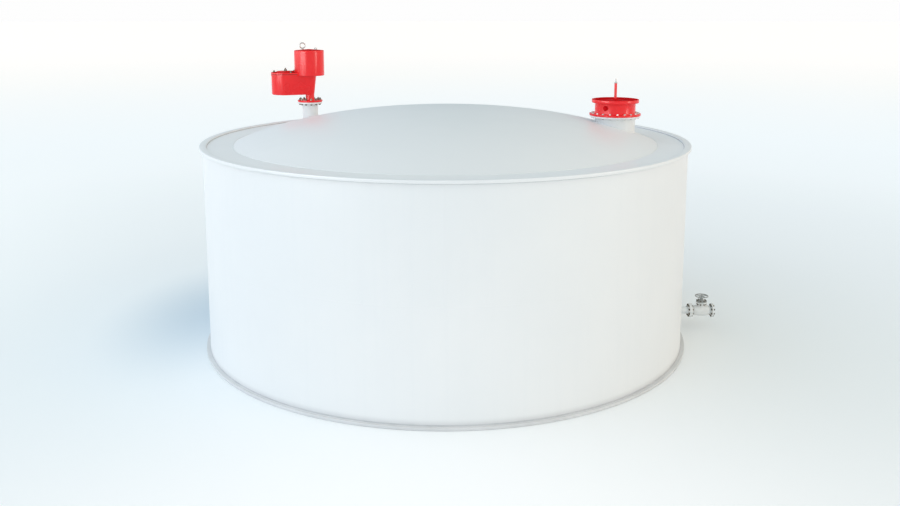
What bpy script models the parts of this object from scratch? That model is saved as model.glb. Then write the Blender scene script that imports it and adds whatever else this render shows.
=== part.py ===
"""A welded steel storage tank, 7.2 m across and 3 m high, with two roof vents and a side outlet valve.

Units are metres, +Z is up, and the origin is at the centre of the tank's foot.
"""
import math

import bmesh
import bpy
from mathutils import Matrix, Vector

# Fit between pieces that touch, and how far a cutting shape runs past what it cuts
GAP = 0.0003
CUT_PAST = 0.1

# Facets of round pieces
FACET_ANGLE = math.radians(4.5)
PETAL_FACET_ANGLE = math.radians(10)
SHARP_ANGLE = math.radians(30)
DISC_SIDES = 80
ROUND_SIDES = 36
PIPE_SIDES = 24
SMALL_SIDES = 12
HEX_SIDES = 6
PETAL_STEPS = 6
CROWN_STEPS = 3
EDGE_STEPS = 3
BELLY_STEPS = 6

# Tank
SHELL_RADIUS = 3.600
SHELL_THICKNESS = 0.008
FOOT_RING_OUTER = 3.658
FOOT_RING_INNER = 3.400
FOOT_RING_HEIGHT = 0.038
BOTTOM_THICKNESS = 0.010
COURSE_SEAM_HEIGHT = 1.510
CURB_INNER = 3.546
CURB_OUTER = 3.647
CURB_BOTTOM = 2.990
CURB_TOP = 3.035
PLATES_PER_COURSE = 4

# Roof
EDGE_PLATE_INNER = 3.100
EDGE_PLATE_TOP = 3.013
ROOF_THICKNESS = 0.008
DOME_FOOT_RADIUS = 3.173
DOME_RISE = 0.482
DOME_SQUARE_TERM = 0.0343
CROWN_RADIUS = 0.620
ROOF_PETALS = 6

# Breather valve on the back left of the roof
BREATHER_RADIUS = 3.360
BREATHER_AZIMUTH = math.radians(136.0)
BREATHER_PIPE_RADIUS = 0.1365
BREATHER_PIPE_WALL = 0.0063
BREATHER_PIPE_BOTTOM = 2.953
BREATHER_FLANGE_RADIUS = 0.2075
BREATHER_FLANGE_BOTTOM = 3.340
BREATHER_FLANGE_TOP = 3.370
BREATHER_BODY_FLANGE_RADIUS = 0.2180
BREATHER_BODY_FLANGE_TOP = 3.402
BREATHER_NECK_RADIUS = 0.0825
NECK_TOP = 3.520
ARM_BOTTOM = 3.500
ARM_TOP = 3.833
ARM_LID_TOP = 3.889
ARM_LID_LIP = 0.006
ARM_END_RADIUS = 0.247
ARM_REACH = 0.424
COLUMN_FOOT_RADIUS = 0.080
COLUMN_HEAD_RADIUS = 0.118
VACUUM_COVER_RADIUS = 0.158
VACUUM_COVER_HEIGHT = 0.020
VACUUM_COVER_CHAMFER = 0.006
HOOD_RADIUS = 0.260
HOOD_EDGE_TOP = 4.275
HOOD_CROWN = 0.022
HOOD_EDGE_ROUND = 0.014
EYE_OFFSET = 0.113
EYE_RING_RADIUS = 0.047
EYE_BAR_RADIUS = 0.010
EYE_TURN = math.radians(25)
EYE_FOOT_RADIUS = 0.024
EYE_FOOT_HEIGHT = 0.022
EYE_SIDES = 18

# Emergency relief vent on the right of the roof
RELIEF_X = 2.600
RELIEF_Y = 0.100
RELIEF_PIPE_RADIUS = 0.305
RELIEF_PIPE_WALL = 0.0095
RELIEF_PIPE_BOTTOM = 3.055
RELIEF_FLANGE_RADIUS = 0.3775
RELIEF_FLANGE_BOTTOM = 3.345
RELIEF_FLANGE_TOP = 3.373
RELIEF_BODY_FLANGE_RADIUS = 0.390
RELIEF_BODY_FLANGE_TOP = 3.405
RELIEF_WALL_RADIUS = 0.3075
RELIEF_WALL_INNER = 0.2955
RELIEF_RIM_BOTTOM = 3.567
RELIEF_RIM_TOP = 3.619
RELIEF_RIM_RADIUS = 0.3575
RELIEF_WELL_RADIUS = 0.335
RELIEF_SEAT_TOP = 3.575
RELIEF_SEAT_BOTTOM = 3.553
RELIEF_SEAT_INNER = 0.250
LID_RADIUS = 0.290
LID_THICKNESS = 0.014
LID_STEP_RADIUS = 0.180
LID_STEP_HEIGHT = 0.013
LID_HUB_RADIUS = 0.042
LID_HUB_HEIGHT = 0.007
LID_BORE_RADIUS = 0.0225
GUIDE_RADIUS = 0.0205
GUIDE_TOP = 3.862
GUIDE_COLLAR_RADIUS = 0.029
GUIDE_COLLAR_HEIGHT = 0.011
GUIDE_TIP_RADIUS = 0.010
GUIDE_TIP_TOP = 3.936
GUIDE_BAR_WIDTH = 0.050
GUIDE_BAR_BOTTOM = 3.500
GUIDE_BAR_TOP = 3.520
PLUG_RADIUS = 0.036
PLUG_LENGTH = 0.018
PLUG_HEIGHT = 3.499
PLUG_AZIMUTH = math.radians(-127.5)

# Side outlet with its globe valve
OUTLET_HEIGHT = 0.290
OUTLET_PIPE_RADIUS = 0.05715
OUTLET_PIPE_WALL = 0.0060
OUTLET_PIPE_START = 3.545
OUTLET_FACE_X = 3.855
VALVE_LENGTH = 0.350
VALVE_FLANGE_RADIUS = 0.110
VALVE_FLANGE_THICKNESS = 0.021
VALVE_BORE_RADIUS = 0.050
VALVE_BORE_DEPTH = 0.120
VALVE_NECK_RADIUS = 0.066
VALVE_NECK_LENGTH = 0.030
VALVE_BELLY_RADIUS = 0.086
VALVE_TOWER_RADIUS = 0.054
VALVE_TOWER_BOTTOM = 0.062
VALVE_TOP_FLANGE_RADIUS = 0.0825
VALVE_TOP_FLANGE_BOTTOM = 0.118
VALVE_TOP_FLANGE_TOP = 0.136
BONNET_FLANGE_TOP = 0.153
BONNET_CONE_TOP = 0.184
BONNET_CONE_RADIUS = 0.056
BONNET_GLAND_RADIUS = 0.024
BONNET_GLAND_TOP = 0.204
STEM_RADIUS = 0.0088
STEM_BORE_RADIUS = 0.0096
STEM_BOTTOM = 0.150
WHEEL_HEIGHT = 0.233
WHEEL_RADIUS = 0.096
WHEEL_RIM_RADIUS = 0.0085
WHEEL_HUB_RADIUS = 0.019
WHEEL_HUB_HEIGHT = 0.024
WHEEL_SPOKES = 5
WHEEL_TURN = math.radians(5)
WHEEL_RIM_SIDES = 30
WHEEL_HUB_SIDES = 20
SPOKE_RADIUS_AT_HUB = 0.0065
SPOKE_RADIUS_AT_RIM = 0.0055
SPOKE_START = 0.010


def clear_scene():
    for old in list(bpy.data.objects):
        bpy.data.objects.remove(old, do_unlink=True)


def paint(name, colour, roughness, metallic=0.0):
    """A Principled material of one colour."""
    made = bpy.data.materials.new(name)
    made.use_nodes = True
    shader = made.node_tree.nodes["Principled BSDF"]
    shader.inputs["Base Color"].default_value = (*colour, 1.0)
    shader.inputs["Roughness"].default_value = roughness
    shader.inputs["Metallic"].default_value = metallic
    return made


def place(name, mesh_data, finish, parent=None, location=(0, 0, 0), rotation=(0, 0, 0)):
    """Makes the object of one sub-part, with its own material."""
    mesh = bpy.data.meshes.new(name)
    bmesh.ops.recalc_face_normals(mesh_data, faces=mesh_data.faces)
    mesh_data.to_mesh(mesh)
    mesh_data.free()
    mesh.shade_smooth()
    mesh.set_sharp_from_angle(angle=SHARP_ANGLE)
    piece = bpy.data.objects.new(name, mesh)
    piece.data.materials.append(finish)
    piece.parent = parent
    piece.location = location
    piece.rotation_euler = rotation
    bpy.context.collection.objects.link(piece)
    return piece


def empty(name, location, rotation=(0, 0, 0), parent=None):
    made = bpy.data.objects.new(name, None)
    made.location = location
    made.rotation_euler = rotation
    made.parent = parent
    bpy.context.collection.objects.link(made)
    return made


def polar(radius, angle, height):
    return Vector((radius * math.cos(angle), radius * math.sin(angle), height))


def swept_plate(outer, inner, start, end, facet):
    """A plate swept round Z from angle start to end, between two lists of (radius, height)."""
    steps = max(1, round((end - start) / facet))
    angles = [start + (end - start) * i / steps for i in range(steps + 1)]
    loop = outer + inner[::-1]
    data = bmesh.new()
    rows = [[data.verts.new(polar(r, a, z)) for r, z in loop] for a in angles]
    for row, following in zip(rows, rows[1:]):
        for i in range(len(loop)):
            j = (i + 1) % len(loop)
            data.faces.new((row[i], row[j], following[j], following[i]))
    last = len(loop) - 1
    for row in (rows[0], rows[-1]):
        for i in range(len(outer) - 1):
            data.faces.new((row[i], row[i + 1], row[last - i - 1], row[last - i]))
    return data


def turned(profile, segments):
    """A solid turned round Z from a closed outline of (radius, height); radius 0 lies on the axis."""
    data = bmesh.new()
    rings = []
    for radius, height in profile:
        if radius == 0:
            rings.append([data.verts.new((0, 0, height))] * segments)
        else:
            angles = (2 * math.pi * i / segments for i in range(segments))
            rings.append([data.verts.new(polar(radius, a, height)) for a in angles])
    for ring, following in zip(rings, rings[1:] + rings[:1]):
        for i in range(segments):
            j = (i + 1) % segments
            corners = []
            for corner in (ring[i], ring[j], following[j], following[i]):
                if corner not in corners:
                    corners.append(corner)
            if len(corners) > 2:
                data.faces.new(corners)
    return data


def drum(radius, bottom, top, segments):
    return turned([(0, bottom), (radius, bottom), (radius, top), (0, top)], segments)


def extruded(outline, top_outline, bottom, top):
    """A solid between a bottom outline and a top outline with as many points, both lists of (x, y)."""
    data = bmesh.new()
    low = [data.verts.new((x, y, bottom)) for x, y in outline]
    high = [data.verts.new((x, y, top)) for x, y in top_outline]
    data.faces.new(low)
    data.faces.new(high)
    for i in range(len(low)):
        j = (i + 1) % len(low)
        data.faces.new((low[i], low[j], high[j], high[i]))
    return data


def box(size, centre):
    data = bmesh.new()
    bmesh.ops.create_cube(data, size=1.0)
    bmesh.ops.scale(data, vec=size, verts=data.verts)
    bmesh.ops.translate(data, vec=centre, verts=data.verts)
    return data


def cutter(name, mesh_data, parent=None, location=(0, 0, 0), rotation=(0, 0, 0)):
    """A guide shape that a Boolean reads and nothing shows."""
    mesh = bpy.data.meshes.new(name)
    bmesh.ops.recalc_face_normals(mesh_data, faces=mesh_data.faces)
    mesh_data.to_mesh(mesh)
    mesh_data.free()
    made = bpy.data.objects.new(name, mesh)
    made.parent = parent
    made.location = location
    made.rotation_euler = rotation
    made.hide_render = True
    made.display_type = "WIRE"
    bpy.context.collection.objects.link(made)
    return made


def boolean(piece, other, operation):
    change = piece.modifiers.new(operation.lower(), "BOOLEAN")
    change.operation = operation
    change.solver = "EXACT"
    change.object = other


def ring_of_plates(name, count, first_centre, outer, inner, finish, facet=FACET_ANGLE):
    """Like plates that together go once round the tank, with a welding gap between neighbours."""
    width = 2 * math.pi / count
    ease = GAP / 2 / outer[0][0]
    made = []
    for i in range(count):
        centre = first_centre + i * width
        data = swept_plate(outer, inner, centre - width / 2 + ease, centre + width / 2 - ease, facet)
        made.append(place(f"{name}_{i + 1}", data, finish))
    return made


def dome_height(radius):
    """Height of the dome's outer face: flat at the crown and steeper towards its foot."""
    fourth = (DOME_RISE - DOME_SQUARE_TERM * DOME_FOOT_RADIUS**2) / DOME_FOOT_RADIUS**4
    return EDGE_PLATE_TOP + DOME_RISE - DOME_SQUARE_TERM * radius**2 - fourth * radius**4


def flat_ring(outer, inner, bottom, top):
    """The two rows of a flat ring's section, for swept_plate."""
    return [(outer, bottom), (outer, top)], [(inner, bottom), (inner, top)]


def build_bottom(white):
    disc = FOOT_RING_INNER - GAP
    outline = [(0, 0), (disc, 0), (disc, BOTTOM_THICKNESS), (0, BOTTOM_THICKNESS)]
    place("bottom_plate", turned(outline, DISC_SIDES), white)
    outer, inner = flat_ring(FOOT_RING_OUTER, FOOT_RING_INNER, 0, FOOT_RING_HEIGHT)
    ring_of_plates("foot_ring", PLATES_PER_COURSE, 0, outer, inner, white)


def build_shell(white):
    inside = SHELL_RADIUS - SHELL_THICKNESS
    outer, inner = flat_ring(SHELL_RADIUS, inside, FOOT_RING_HEIGHT + GAP, COURSE_SEAM_HEIGHT - GAP)
    lower = ring_of_plates("shell_lower", PLATES_PER_COURSE, 0, outer, inner, white)
    outer, inner = flat_ring(SHELL_RADIUS, inside, COURSE_SEAM_HEIGHT, CURB_BOTTOM - GAP)
    ring_of_plates("shell_upper", PLATES_PER_COURSE, math.pi / PLATES_PER_COURSE, outer, inner, white)
    outer, inner = flat_ring(CURB_OUTER, CURB_INNER, CURB_BOTTOM, CURB_TOP)
    ring_of_plates("top_curb", PLATES_PER_COURSE, 0, outer, inner, white)
    hole = drum(OUTLET_PIPE_RADIUS + GAP, OUTLET_PIPE_START - CUT_PAST, OUTLET_FACE_X, PIPE_SIDES)
    bore = cutter("outlet_hole", hole, location=(0, 0, OUTLET_HEIGHT), rotation=(0, math.pi / 2, 0))
    boolean(lower[0], bore, "DIFFERENCE")


def build_roof(white, breather, relief):
    under = EDGE_PLATE_TOP - ROOF_THICKNESS
    outer, inner = flat_ring(CURB_INNER - GAP, EDGE_PLATE_INNER, under, EDGE_PLATE_TOP)
    quarter = math.pi / 2
    edge = ring_of_plates("roof_edge", PLATES_PER_COURSE, quarter / 2, outer, inner, white)
    hole = drum(BREATHER_PIPE_RADIUS + GAP, under - CUT_PAST, EDGE_PLATE_TOP + CUT_PAST, PIPE_SIDES)
    boolean(edge[1], cutter("breather_hole", hole, parent=breather), "DIFFERENCE")

    foot = DOME_FOOT_RADIUS
    span = foot - CROWN_RADIUS - GAP
    stations = [CROWN_RADIUS + GAP + span * i / PETAL_STEPS for i in range(PETAL_STEPS + 1)]
    outer = [(r, dome_height(r)) for r in stations]
    outer[-1] = (foot, EDGE_PLATE_TOP + GAP)
    inner = [(r, dome_height(r) - ROOF_THICKNESS) for r in stations]
    inner[-1] = (foot - ROOF_THICKNESS, EDGE_PLATE_TOP + GAP)
    petals = ring_of_plates("roof_petal", ROOF_PETALS, 0, outer, inner, white, PETAL_FACET_ANGLE)
    hole = drum(RELIEF_PIPE_RADIUS + GAP, RELIEF_PIPE_BOTTOM - CUT_PAST, RELIEF_FLANGE_TOP, ROUND_SIDES)
    boolean(petals[0], cutter("relief_hole", hole, parent=relief), "DIFFERENCE")

    stations = [CROWN_RADIUS * i / CROWN_STEPS for i in range(CROWN_STEPS + 1)]
    top = [(r, dome_height(r)) for r in stations]
    under = [(r, dome_height(r) - ROOF_THICKNESS) for r in stations]
    place("roof_crown", turned(top + under[::-1], ROUND_SIDES), white)


def arm_outline(end_radius, head_radius):
    """The plan of the breather's side arm: a big round end joined to a small one by straight flanks."""
    lean = math.asin((end_radius - head_radius) / ARM_REACH)
    steps = SMALL_SIDES
    points = []
    for i in range(steps + 1):
        angle = -math.pi / 2 + lean + (math.pi - 2 * lean) * i / steps
        points.append((head_radius * math.cos(angle), head_radius * math.sin(angle)))
    for i in range(steps + 1):
        angle = math.pi / 2 - lean + (math.pi + 2 * lean) * i / steps
        points.append((end_radius * math.cos(angle) - ARM_REACH, end_radius * math.sin(angle)))
    return points


def build_breather(white, red, steel, stand):
    pipe = BREATHER_PIPE_RADIUS
    bore = pipe - BREATHER_PIPE_WALL
    flange = BREATHER_FLANGE_RADIUS
    outline = [
        (pipe, BREATHER_PIPE_BOTTOM), (pipe, BREATHER_FLANGE_BOTTOM), (flange, BREATHER_FLANGE_BOTTOM),
        (flange, BREATHER_FLANGE_TOP - GAP), (bore, BREATHER_FLANGE_TOP - GAP), (bore, BREATHER_PIPE_BOTTOM)]
    place("breather_nozzle", turned(outline, PIPE_SIDES), white, stand)

    neck = BREATHER_NECK_RADIUS
    flange = BREATHER_BODY_FLANGE_RADIUS
    outline = [
        (0, BREATHER_FLANGE_TOP), (flange, BREATHER_FLANGE_TOP), (flange, BREATHER_BODY_FLANGE_TOP),
        (neck, BREATHER_BODY_FLANGE_TOP), (neck, NECK_TOP), (0, NECK_TOP)]
    body = place("breather_body", turned(outline, PIPE_SIDES), red, stand)
    arm = extruded(
        arm_outline(ARM_END_RADIUS, COLUMN_FOOT_RADIUS),
        arm_outline(ARM_END_RADIUS, COLUMN_HEAD_RADIUS), ARM_BOTTOM, ARM_TOP - GAP)
    boolean(body, cutter("breather_arm", arm, parent=stand), "UNION")

    lip = ARM_LID_LIP
    plan = arm_outline(ARM_END_RADIUS + lip, COLUMN_HEAD_RADIUS + lip)
    lid = place("breather_arm_lid", extruded(plan, plan, ARM_TOP, ARM_LID_TOP), red, stand)
    clearance = drum(HOOD_RADIUS + GAP, ARM_TOP - CUT_PAST, ARM_LID_TOP + CUT_PAST, ROUND_SIDES)
    boolean(lid, cutter("hood_clearance", clearance, parent=stand), "DIFFERENCE")

    low = ARM_LID_TOP + GAP
    high = low + VACUUM_COVER_HEIGHT
    outline = [(0, low), (VACUUM_COVER_RADIUS, low), (VACUUM_COVER_RADIUS, high - VACUUM_COVER_CHAMFER),
               (VACUUM_COVER_RADIUS - VACUUM_COVER_CHAMFER, high), (0, high)]
    place("breather_vacuum_cover", turned(outline, PIPE_SIDES), red, stand, (-ARM_REACH, 0, 0))

    outline = [(0, ARM_TOP), (HOOD_RADIUS, ARM_TOP)]
    for i in range(EDGE_STEPS + 1):
        angle = math.pi / 2 * i / EDGE_STEPS
        radius = HOOD_RADIUS - HOOD_EDGE_ROUND * (1 - math.cos(angle))
        outline.append((radius, HOOD_EDGE_TOP - HOOD_EDGE_ROUND * (1 - math.sin(angle))))
    outline.append((0, HOOD_EDGE_TOP + HOOD_CROWN))
    place("breather_hood", turned(outline, ROUND_SIDES), red, stand)

    seat = HOOD_EDGE_TOP + HOOD_CROWN * (1 - EYE_OFFSET / (HOOD_RADIUS - HOOD_EDGE_ROUND))
    foot_base = seat + HOOD_CROWN * EYE_FOOT_RADIUS / (HOOD_RADIUS - HOOD_EDGE_ROUND) + GAP
    foot_top = foot_base + EYE_FOOT_HEIGHT
    mount = empty("eye_mount", (-EYE_OFFSET, 0, 0), (0, 0, EYE_TURN), stand)
    foot = drum(EYE_FOOT_RADIUS, foot_base, foot_top, SMALL_SIDES)
    eye = place("breather_lifting_eye", foot, steel, mount)
    ring = turned(ring_section(EYE_RING_RADIUS, EYE_BAR_RADIUS, HEX_SIDES), EYE_SIDES)
    height = foot_top + EYE_RING_RADIUS
    hoop = cutter("eye_hoop", ring, mount, (0, 0, height), (math.pi / 2, 0, 0))
    boolean(eye, hoop, "UNION")


def ring_section(major, minor, steps):
    """The outline of a round bar bent into a ring round Z."""
    angles = (2 * math.pi * i / steps for i in range(steps))
    return [(major + minor * math.cos(a), minor * math.sin(a)) for a in angles]


def build_relief(white, red, steel, stand):
    pipe = RELIEF_PIPE_RADIUS
    bore = pipe - RELIEF_PIPE_WALL
    flange = RELIEF_FLANGE_RADIUS
    outline = [
        (pipe, RELIEF_PIPE_BOTTOM), (pipe, RELIEF_FLANGE_BOTTOM), (flange, RELIEF_FLANGE_BOTTOM),
        (flange, RELIEF_FLANGE_TOP - GAP), (bore, RELIEF_FLANGE_TOP - GAP), (bore, RELIEF_PIPE_BOTTOM)]
    place("relief_nozzle", turned(outline, ROUND_SIDES), white, stand)

    outline = [
        (RELIEF_BODY_FLANGE_RADIUS, RELIEF_FLANGE_TOP), (RELIEF_BODY_FLANGE_RADIUS, RELIEF_BODY_FLANGE_TOP),
        (RELIEF_WALL_RADIUS, RELIEF_BODY_FLANGE_TOP), (RELIEF_WALL_RADIUS, RELIEF_RIM_BOTTOM),
        (RELIEF_RIM_RADIUS, RELIEF_RIM_BOTTOM), (RELIEF_RIM_RADIUS, RELIEF_RIM_TOP),
        (RELIEF_WELL_RADIUS, RELIEF_RIM_TOP), (RELIEF_WELL_RADIUS, RELIEF_SEAT_TOP),
        (RELIEF_SEAT_INNER, RELIEF_SEAT_TOP), (RELIEF_SEAT_INNER, RELIEF_SEAT_BOTTOM),
        (RELIEF_WALL_INNER, RELIEF_SEAT_BOTTOM), (RELIEF_WALL_INNER, RELIEF_FLANGE_TOP)]
    place("relief_body", turned(outline, ROUND_SIDES), red, stand)

    low = RELIEF_SEAT_TOP + GAP
    step = low + LID_THICKNESS
    high = step + LID_STEP_HEIGHT
    hub = high + LID_HUB_HEIGHT
    outline = [
        (LID_BORE_RADIUS, low), (LID_RADIUS, low), (LID_RADIUS, step), (LID_STEP_RADIUS, step),
        (LID_STEP_RADIUS, high), (LID_HUB_RADIUS, high), (LID_HUB_RADIUS, hub), (LID_BORE_RADIUS, hub)]
    place("relief_lid", turned(outline, ROUND_SIDES), red, stand)

    collar = GUIDE_TOP + GUIDE_COLLAR_HEIGHT
    outline = [
        (0, GUIDE_BAR_BOTTOM), (GUIDE_RADIUS, GUIDE_BAR_BOTTOM), (GUIDE_RADIUS, GUIDE_TOP),
        (GUIDE_COLLAR_RADIUS, GUIDE_TOP), (GUIDE_COLLAR_RADIUS, collar), (GUIDE_TIP_RADIUS, collar),
        (GUIDE_TIP_RADIUS, GUIDE_TIP_TOP), (0, GUIDE_TIP_TOP)]
    guide = place("relief_guide", turned(outline, PIPE_SIDES), red, stand)
    flat_to_centre = RELIEF_WALL_INNER * math.cos(math.pi / ROUND_SIDES)
    reach = 2 * math.sqrt((flat_to_centre - GAP) ** 2 - (GUIDE_BAR_WIDTH / 2) ** 2)
    middle = (GUIDE_BAR_BOTTOM + GUIDE_BAR_TOP) / 2
    bar = box((reach, GUIDE_BAR_WIDTH, GUIDE_BAR_TOP - GUIDE_BAR_BOTTOM), (0, 0, middle))
    boolean(guide, cutter("guide_bar", bar, parent=stand), "UNION")

    plug = drum(PLUG_RADIUS, 0, PLUG_LENGTH, HEX_SIDES)
    seat = polar(RELIEF_WALL_RADIUS + GAP, PLUG_AZIMUTH, PLUG_HEIGHT)
    place("relief_plug", plug, red, stand, seat, (0, math.pi / 2, PLUG_AZIMUTH))


def build_outlet(white, grey, steel):
    axis = empty("outlet_axis", (0, 0, OUTLET_HEIGHT), (0, math.pi / 2, 0))
    pipe = OUTLET_PIPE_RADIUS
    bore = pipe - OUTLET_PIPE_WALL
    flange = VALVE_FLANGE_RADIUS
    back = OUTLET_FACE_X - VALVE_FLANGE_THICKNESS
    outline = [
        (pipe, OUTLET_PIPE_START), (pipe, back), (flange, back), (flange, OUTLET_FACE_X),
        (bore, OUTLET_FACE_X), (bore, OUTLET_PIPE_START)]
    place("outlet_nozzle", turned(outline, PIPE_SIDES), white, axis)

    start = OUTLET_FACE_X + GAP
    end = start + VALVE_LENGTH
    middle = (start + end) / 2
    near = start + VALVE_FLANGE_THICKNESS
    far = end - VALVE_FLANGE_THICKNESS
    hole = VALVE_BORE_RADIUS
    outline = [(0, start + VALVE_BORE_DEPTH), (hole, start + VALVE_BORE_DEPTH), (hole, start),
               (flange, start), (flange, near), (VALVE_NECK_RADIUS, near)]
    reach = (far - near) / 2 - VALVE_NECK_LENGTH
    for i in range(BELLY_STEPS + 1):
        angle = math.pi * i / BELLY_STEPS
        swell = VALVE_NECK_RADIUS + (VALVE_BELLY_RADIUS - VALVE_NECK_RADIUS) * math.sin(angle)
        outline.append((swell, middle - reach * math.cos(angle)))
    outline += [(VALVE_NECK_RADIUS, far), (flange, far), (flange, end), (hole, end),
                (hole, end - VALVE_BORE_DEPTH), (0, end - VALVE_BORE_DEPTH)]
    body = place("valve_body", turned(outline, PIPE_SIDES), grey, axis)

    stand = empty("valve_stand", (middle, 0, OUTLET_HEIGHT))
    top = VALVE_TOP_FLANGE_TOP
    outline = [
        (0, VALVE_TOWER_BOTTOM), (VALVE_TOWER_RADIUS, VALVE_TOWER_BOTTOM),
        (VALVE_TOWER_RADIUS, VALVE_TOP_FLANGE_BOTTOM), (VALVE_TOP_FLANGE_RADIUS, VALVE_TOP_FLANGE_BOTTOM),
        (VALVE_TOP_FLANGE_RADIUS, top), (0, top)]
    boolean(body, cutter("valve_tower", turned(outline, PIPE_SIDES), parent=stand), "UNION")

    low = VALVE_TOP_FLANGE_TOP + GAP
    pit = STEM_BOTTOM - GAP
    outline = [
        (0, low), (VALVE_TOP_FLANGE_RADIUS, low), (VALVE_TOP_FLANGE_RADIUS, BONNET_FLANGE_TOP),
        (BONNET_CONE_RADIUS, BONNET_FLANGE_TOP), (BONNET_GLAND_RADIUS, BONNET_CONE_TOP),
        (BONNET_GLAND_RADIUS, BONNET_GLAND_TOP), (STEM_BORE_RADIUS, BONNET_GLAND_TOP),
        (STEM_BORE_RADIUS, pit), (0, pit)]
    place("valve_bonnet", turned(outline, PIPE_SIDES), grey, stand)

    under_hub = WHEEL_HEIGHT - WHEEL_HUB_HEIGHT / 2
    stem = drum(STEM_RADIUS, STEM_BOTTOM, under_hub - GAP, PIPE_SIDES)
    place("valve_stem", stem, steel, stand)

    half = WHEEL_HUB_HEIGHT / 2
    spot = (0, 0, WHEEL_HEIGHT)
    hub = drum(WHEEL_HUB_RADIUS, -half, half, WHEEL_HUB_SIDES)
    wheel = place("valve_handwheel", hub, grey, stand, spot)
    rim = turned(ring_section(WHEEL_RADIUS, WHEEL_RIM_RADIUS, HEX_SIDES), WHEEL_RIM_SIDES)
    boolean(wheel, cutter("wheel_rim", rim, stand, spot), "UNION")
    for i in range(WHEEL_SPOKES):
        spoke = bmesh.new()
        bmesh.ops.create_cone(spoke, cap_ends=True, segments=HEX_SIDES, radius1=SPOKE_RADIUS_AT_HUB,
                              radius2=SPOKE_RADIUS_AT_RIM, depth=WHEEL_RADIUS - SPOKE_START)
        bmesh.ops.rotate(spoke, verts=spoke.verts, matrix=Matrix.Rotation(math.pi / 2, 3, "Y"))
        bmesh.ops.translate(spoke, verts=spoke.verts, vec=((WHEEL_RADIUS + SPOKE_START) / 2, 0, 0))
        turn = WHEEL_TURN + 2 * math.pi * i / WHEEL_SPOKES
        boolean(wheel, cutter(f"wheel_spoke_{i + 1}", spoke, stand, spot, (0, 0, turn)), "UNION")


def build_tank():
    clear_scene()
    white = paint("white_paint", (0.80, 0.83, 0.84), 0.35)
    red = paint("red_paint", (0.72, 0.03, 0.04), 0.35)
    grey = paint("pale_grey_paint", (0.62, 0.64, 0.64), 0.40)
    steel = paint("zinc_steel", (0.55, 0.55, 0.55), 0.35, 0.9)
    spot = polar(BREATHER_RADIUS, BREATHER_AZIMUTH, 0)
    breather = empty("breather_stand", spot)
    relief = empty("relief_stand", (RELIEF_X, RELIEF_Y, 0))
    build_bottom(white)
    build_shell(white)
    build_roof(white, breather, relief)
    build_breather(white, red, steel, breather)
    build_relief(white, red, steel, relief)
    build_outlet(white, grey, steel)


build_tank()
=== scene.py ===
import math

import bmesh
import bpy
from mathutils import Matrix, Vector


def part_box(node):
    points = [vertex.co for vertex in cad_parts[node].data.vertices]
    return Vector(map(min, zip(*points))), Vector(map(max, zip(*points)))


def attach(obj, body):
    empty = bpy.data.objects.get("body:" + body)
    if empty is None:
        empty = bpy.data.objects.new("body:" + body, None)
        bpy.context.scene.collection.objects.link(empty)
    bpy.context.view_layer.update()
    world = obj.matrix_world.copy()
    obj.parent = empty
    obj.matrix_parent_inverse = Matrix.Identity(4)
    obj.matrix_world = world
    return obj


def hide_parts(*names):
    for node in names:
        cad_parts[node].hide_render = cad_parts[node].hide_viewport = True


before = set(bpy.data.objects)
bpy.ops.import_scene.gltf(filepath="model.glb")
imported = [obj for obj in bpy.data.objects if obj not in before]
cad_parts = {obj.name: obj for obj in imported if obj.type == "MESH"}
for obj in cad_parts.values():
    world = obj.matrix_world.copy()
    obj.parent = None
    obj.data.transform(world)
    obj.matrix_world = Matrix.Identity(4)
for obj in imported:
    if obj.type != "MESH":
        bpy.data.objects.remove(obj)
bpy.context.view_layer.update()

# Camera
# The photograph was taken level, from a little above the tank's roof, through a lens shifted down.
# Part of that shift is a tilt here, so that views from other sides keep the whole tank in the picture.
EYE = (0.067, -13.940, 4.911)
TILT_DOWN = math.radians(9.24)
LENS_MM = 36.73
LENS_SHIFT = -0.10
SENSOR_MM = 36.0
SIGHT = 2000.0

camera_data = bpy.data.cameras.new("camera")
camera_data.lens = LENS_MM
camera_data.sensor_width = SENSOR_MM
camera_data.shift_y = LENS_SHIFT
camera_data.clip_end = SIGHT
camera = bpy.data.objects.new("camera", camera_data)
camera.location = EYE
camera.rotation_euler = (math.pi / 2 - TILT_DOWN, 0, 0)
bpy.context.scene.collection.objects.link(camera)
bpy.context.scene.camera = camera
bpy.context.scene.view_settings.view_transform = "Standard"

# Floor
# A plain pale studio floor that runs out of sight; with distance it glows more, painted light that turns it
# white, and beside the tank's left it carries a soft painted shadow. It isn't part of the tank.
FLOOR_RADIUS = 600.0
FLOOR_SIDES = 128
FLOOR_TONE = (0.905, 0.936, 0.952, 1)
GLOW_REACH = 120.0
GLOW_STEPS = ((7.0, (0, 0, 0)), (12.0, (0.040, 0.040, 0.040)), (18.0, (0.105, 0.105, 0.105)),
         (25.0, (0.130, 0.130, 0.130)), (60.0, (0.215, 0.160, 0.115)), (110.0, (0.290, 0.195, 0.140)))
PAINTED_SHADOW_TONE = (0.64, 0.725, 0.79, 1)
PAINTED_SHADOW_SPOT = (-3.9, 0.8, 0)
PAINTED_SHADOW_SIZE = (1.9, 3.4, 1.0)
FLOOR_ROUGHNESS = 0.9
FLOOR_SHINE = 0.1
FLOOR_DROP = 0.002


def link(tree, output, target):
    tree.links.new(output, target)


def shader_node(tree, kind, **settings):
    """A node of that kind with its settings, such as operation="MULTIPLY"."""
    node = tree.nodes.new(kind)
    for name, value in settings.items():
        setattr(node, name, value)
    return node


def ramped(tree, value, low, high, start=0.0, end=1.0, **settings):
    """The value with its range from low to high spread from start to end, and held beyond both."""
    node = shader_node(tree, "ShaderNodeMapRange", **settings)
    for name, number in (("From Min", low), ("From Max", high), ("To Min", start), ("To Max", end)):
        node.inputs[name].default_value = number
    link(tree, value, node.inputs["Value"])
    return node.outputs["Result"]


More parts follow.
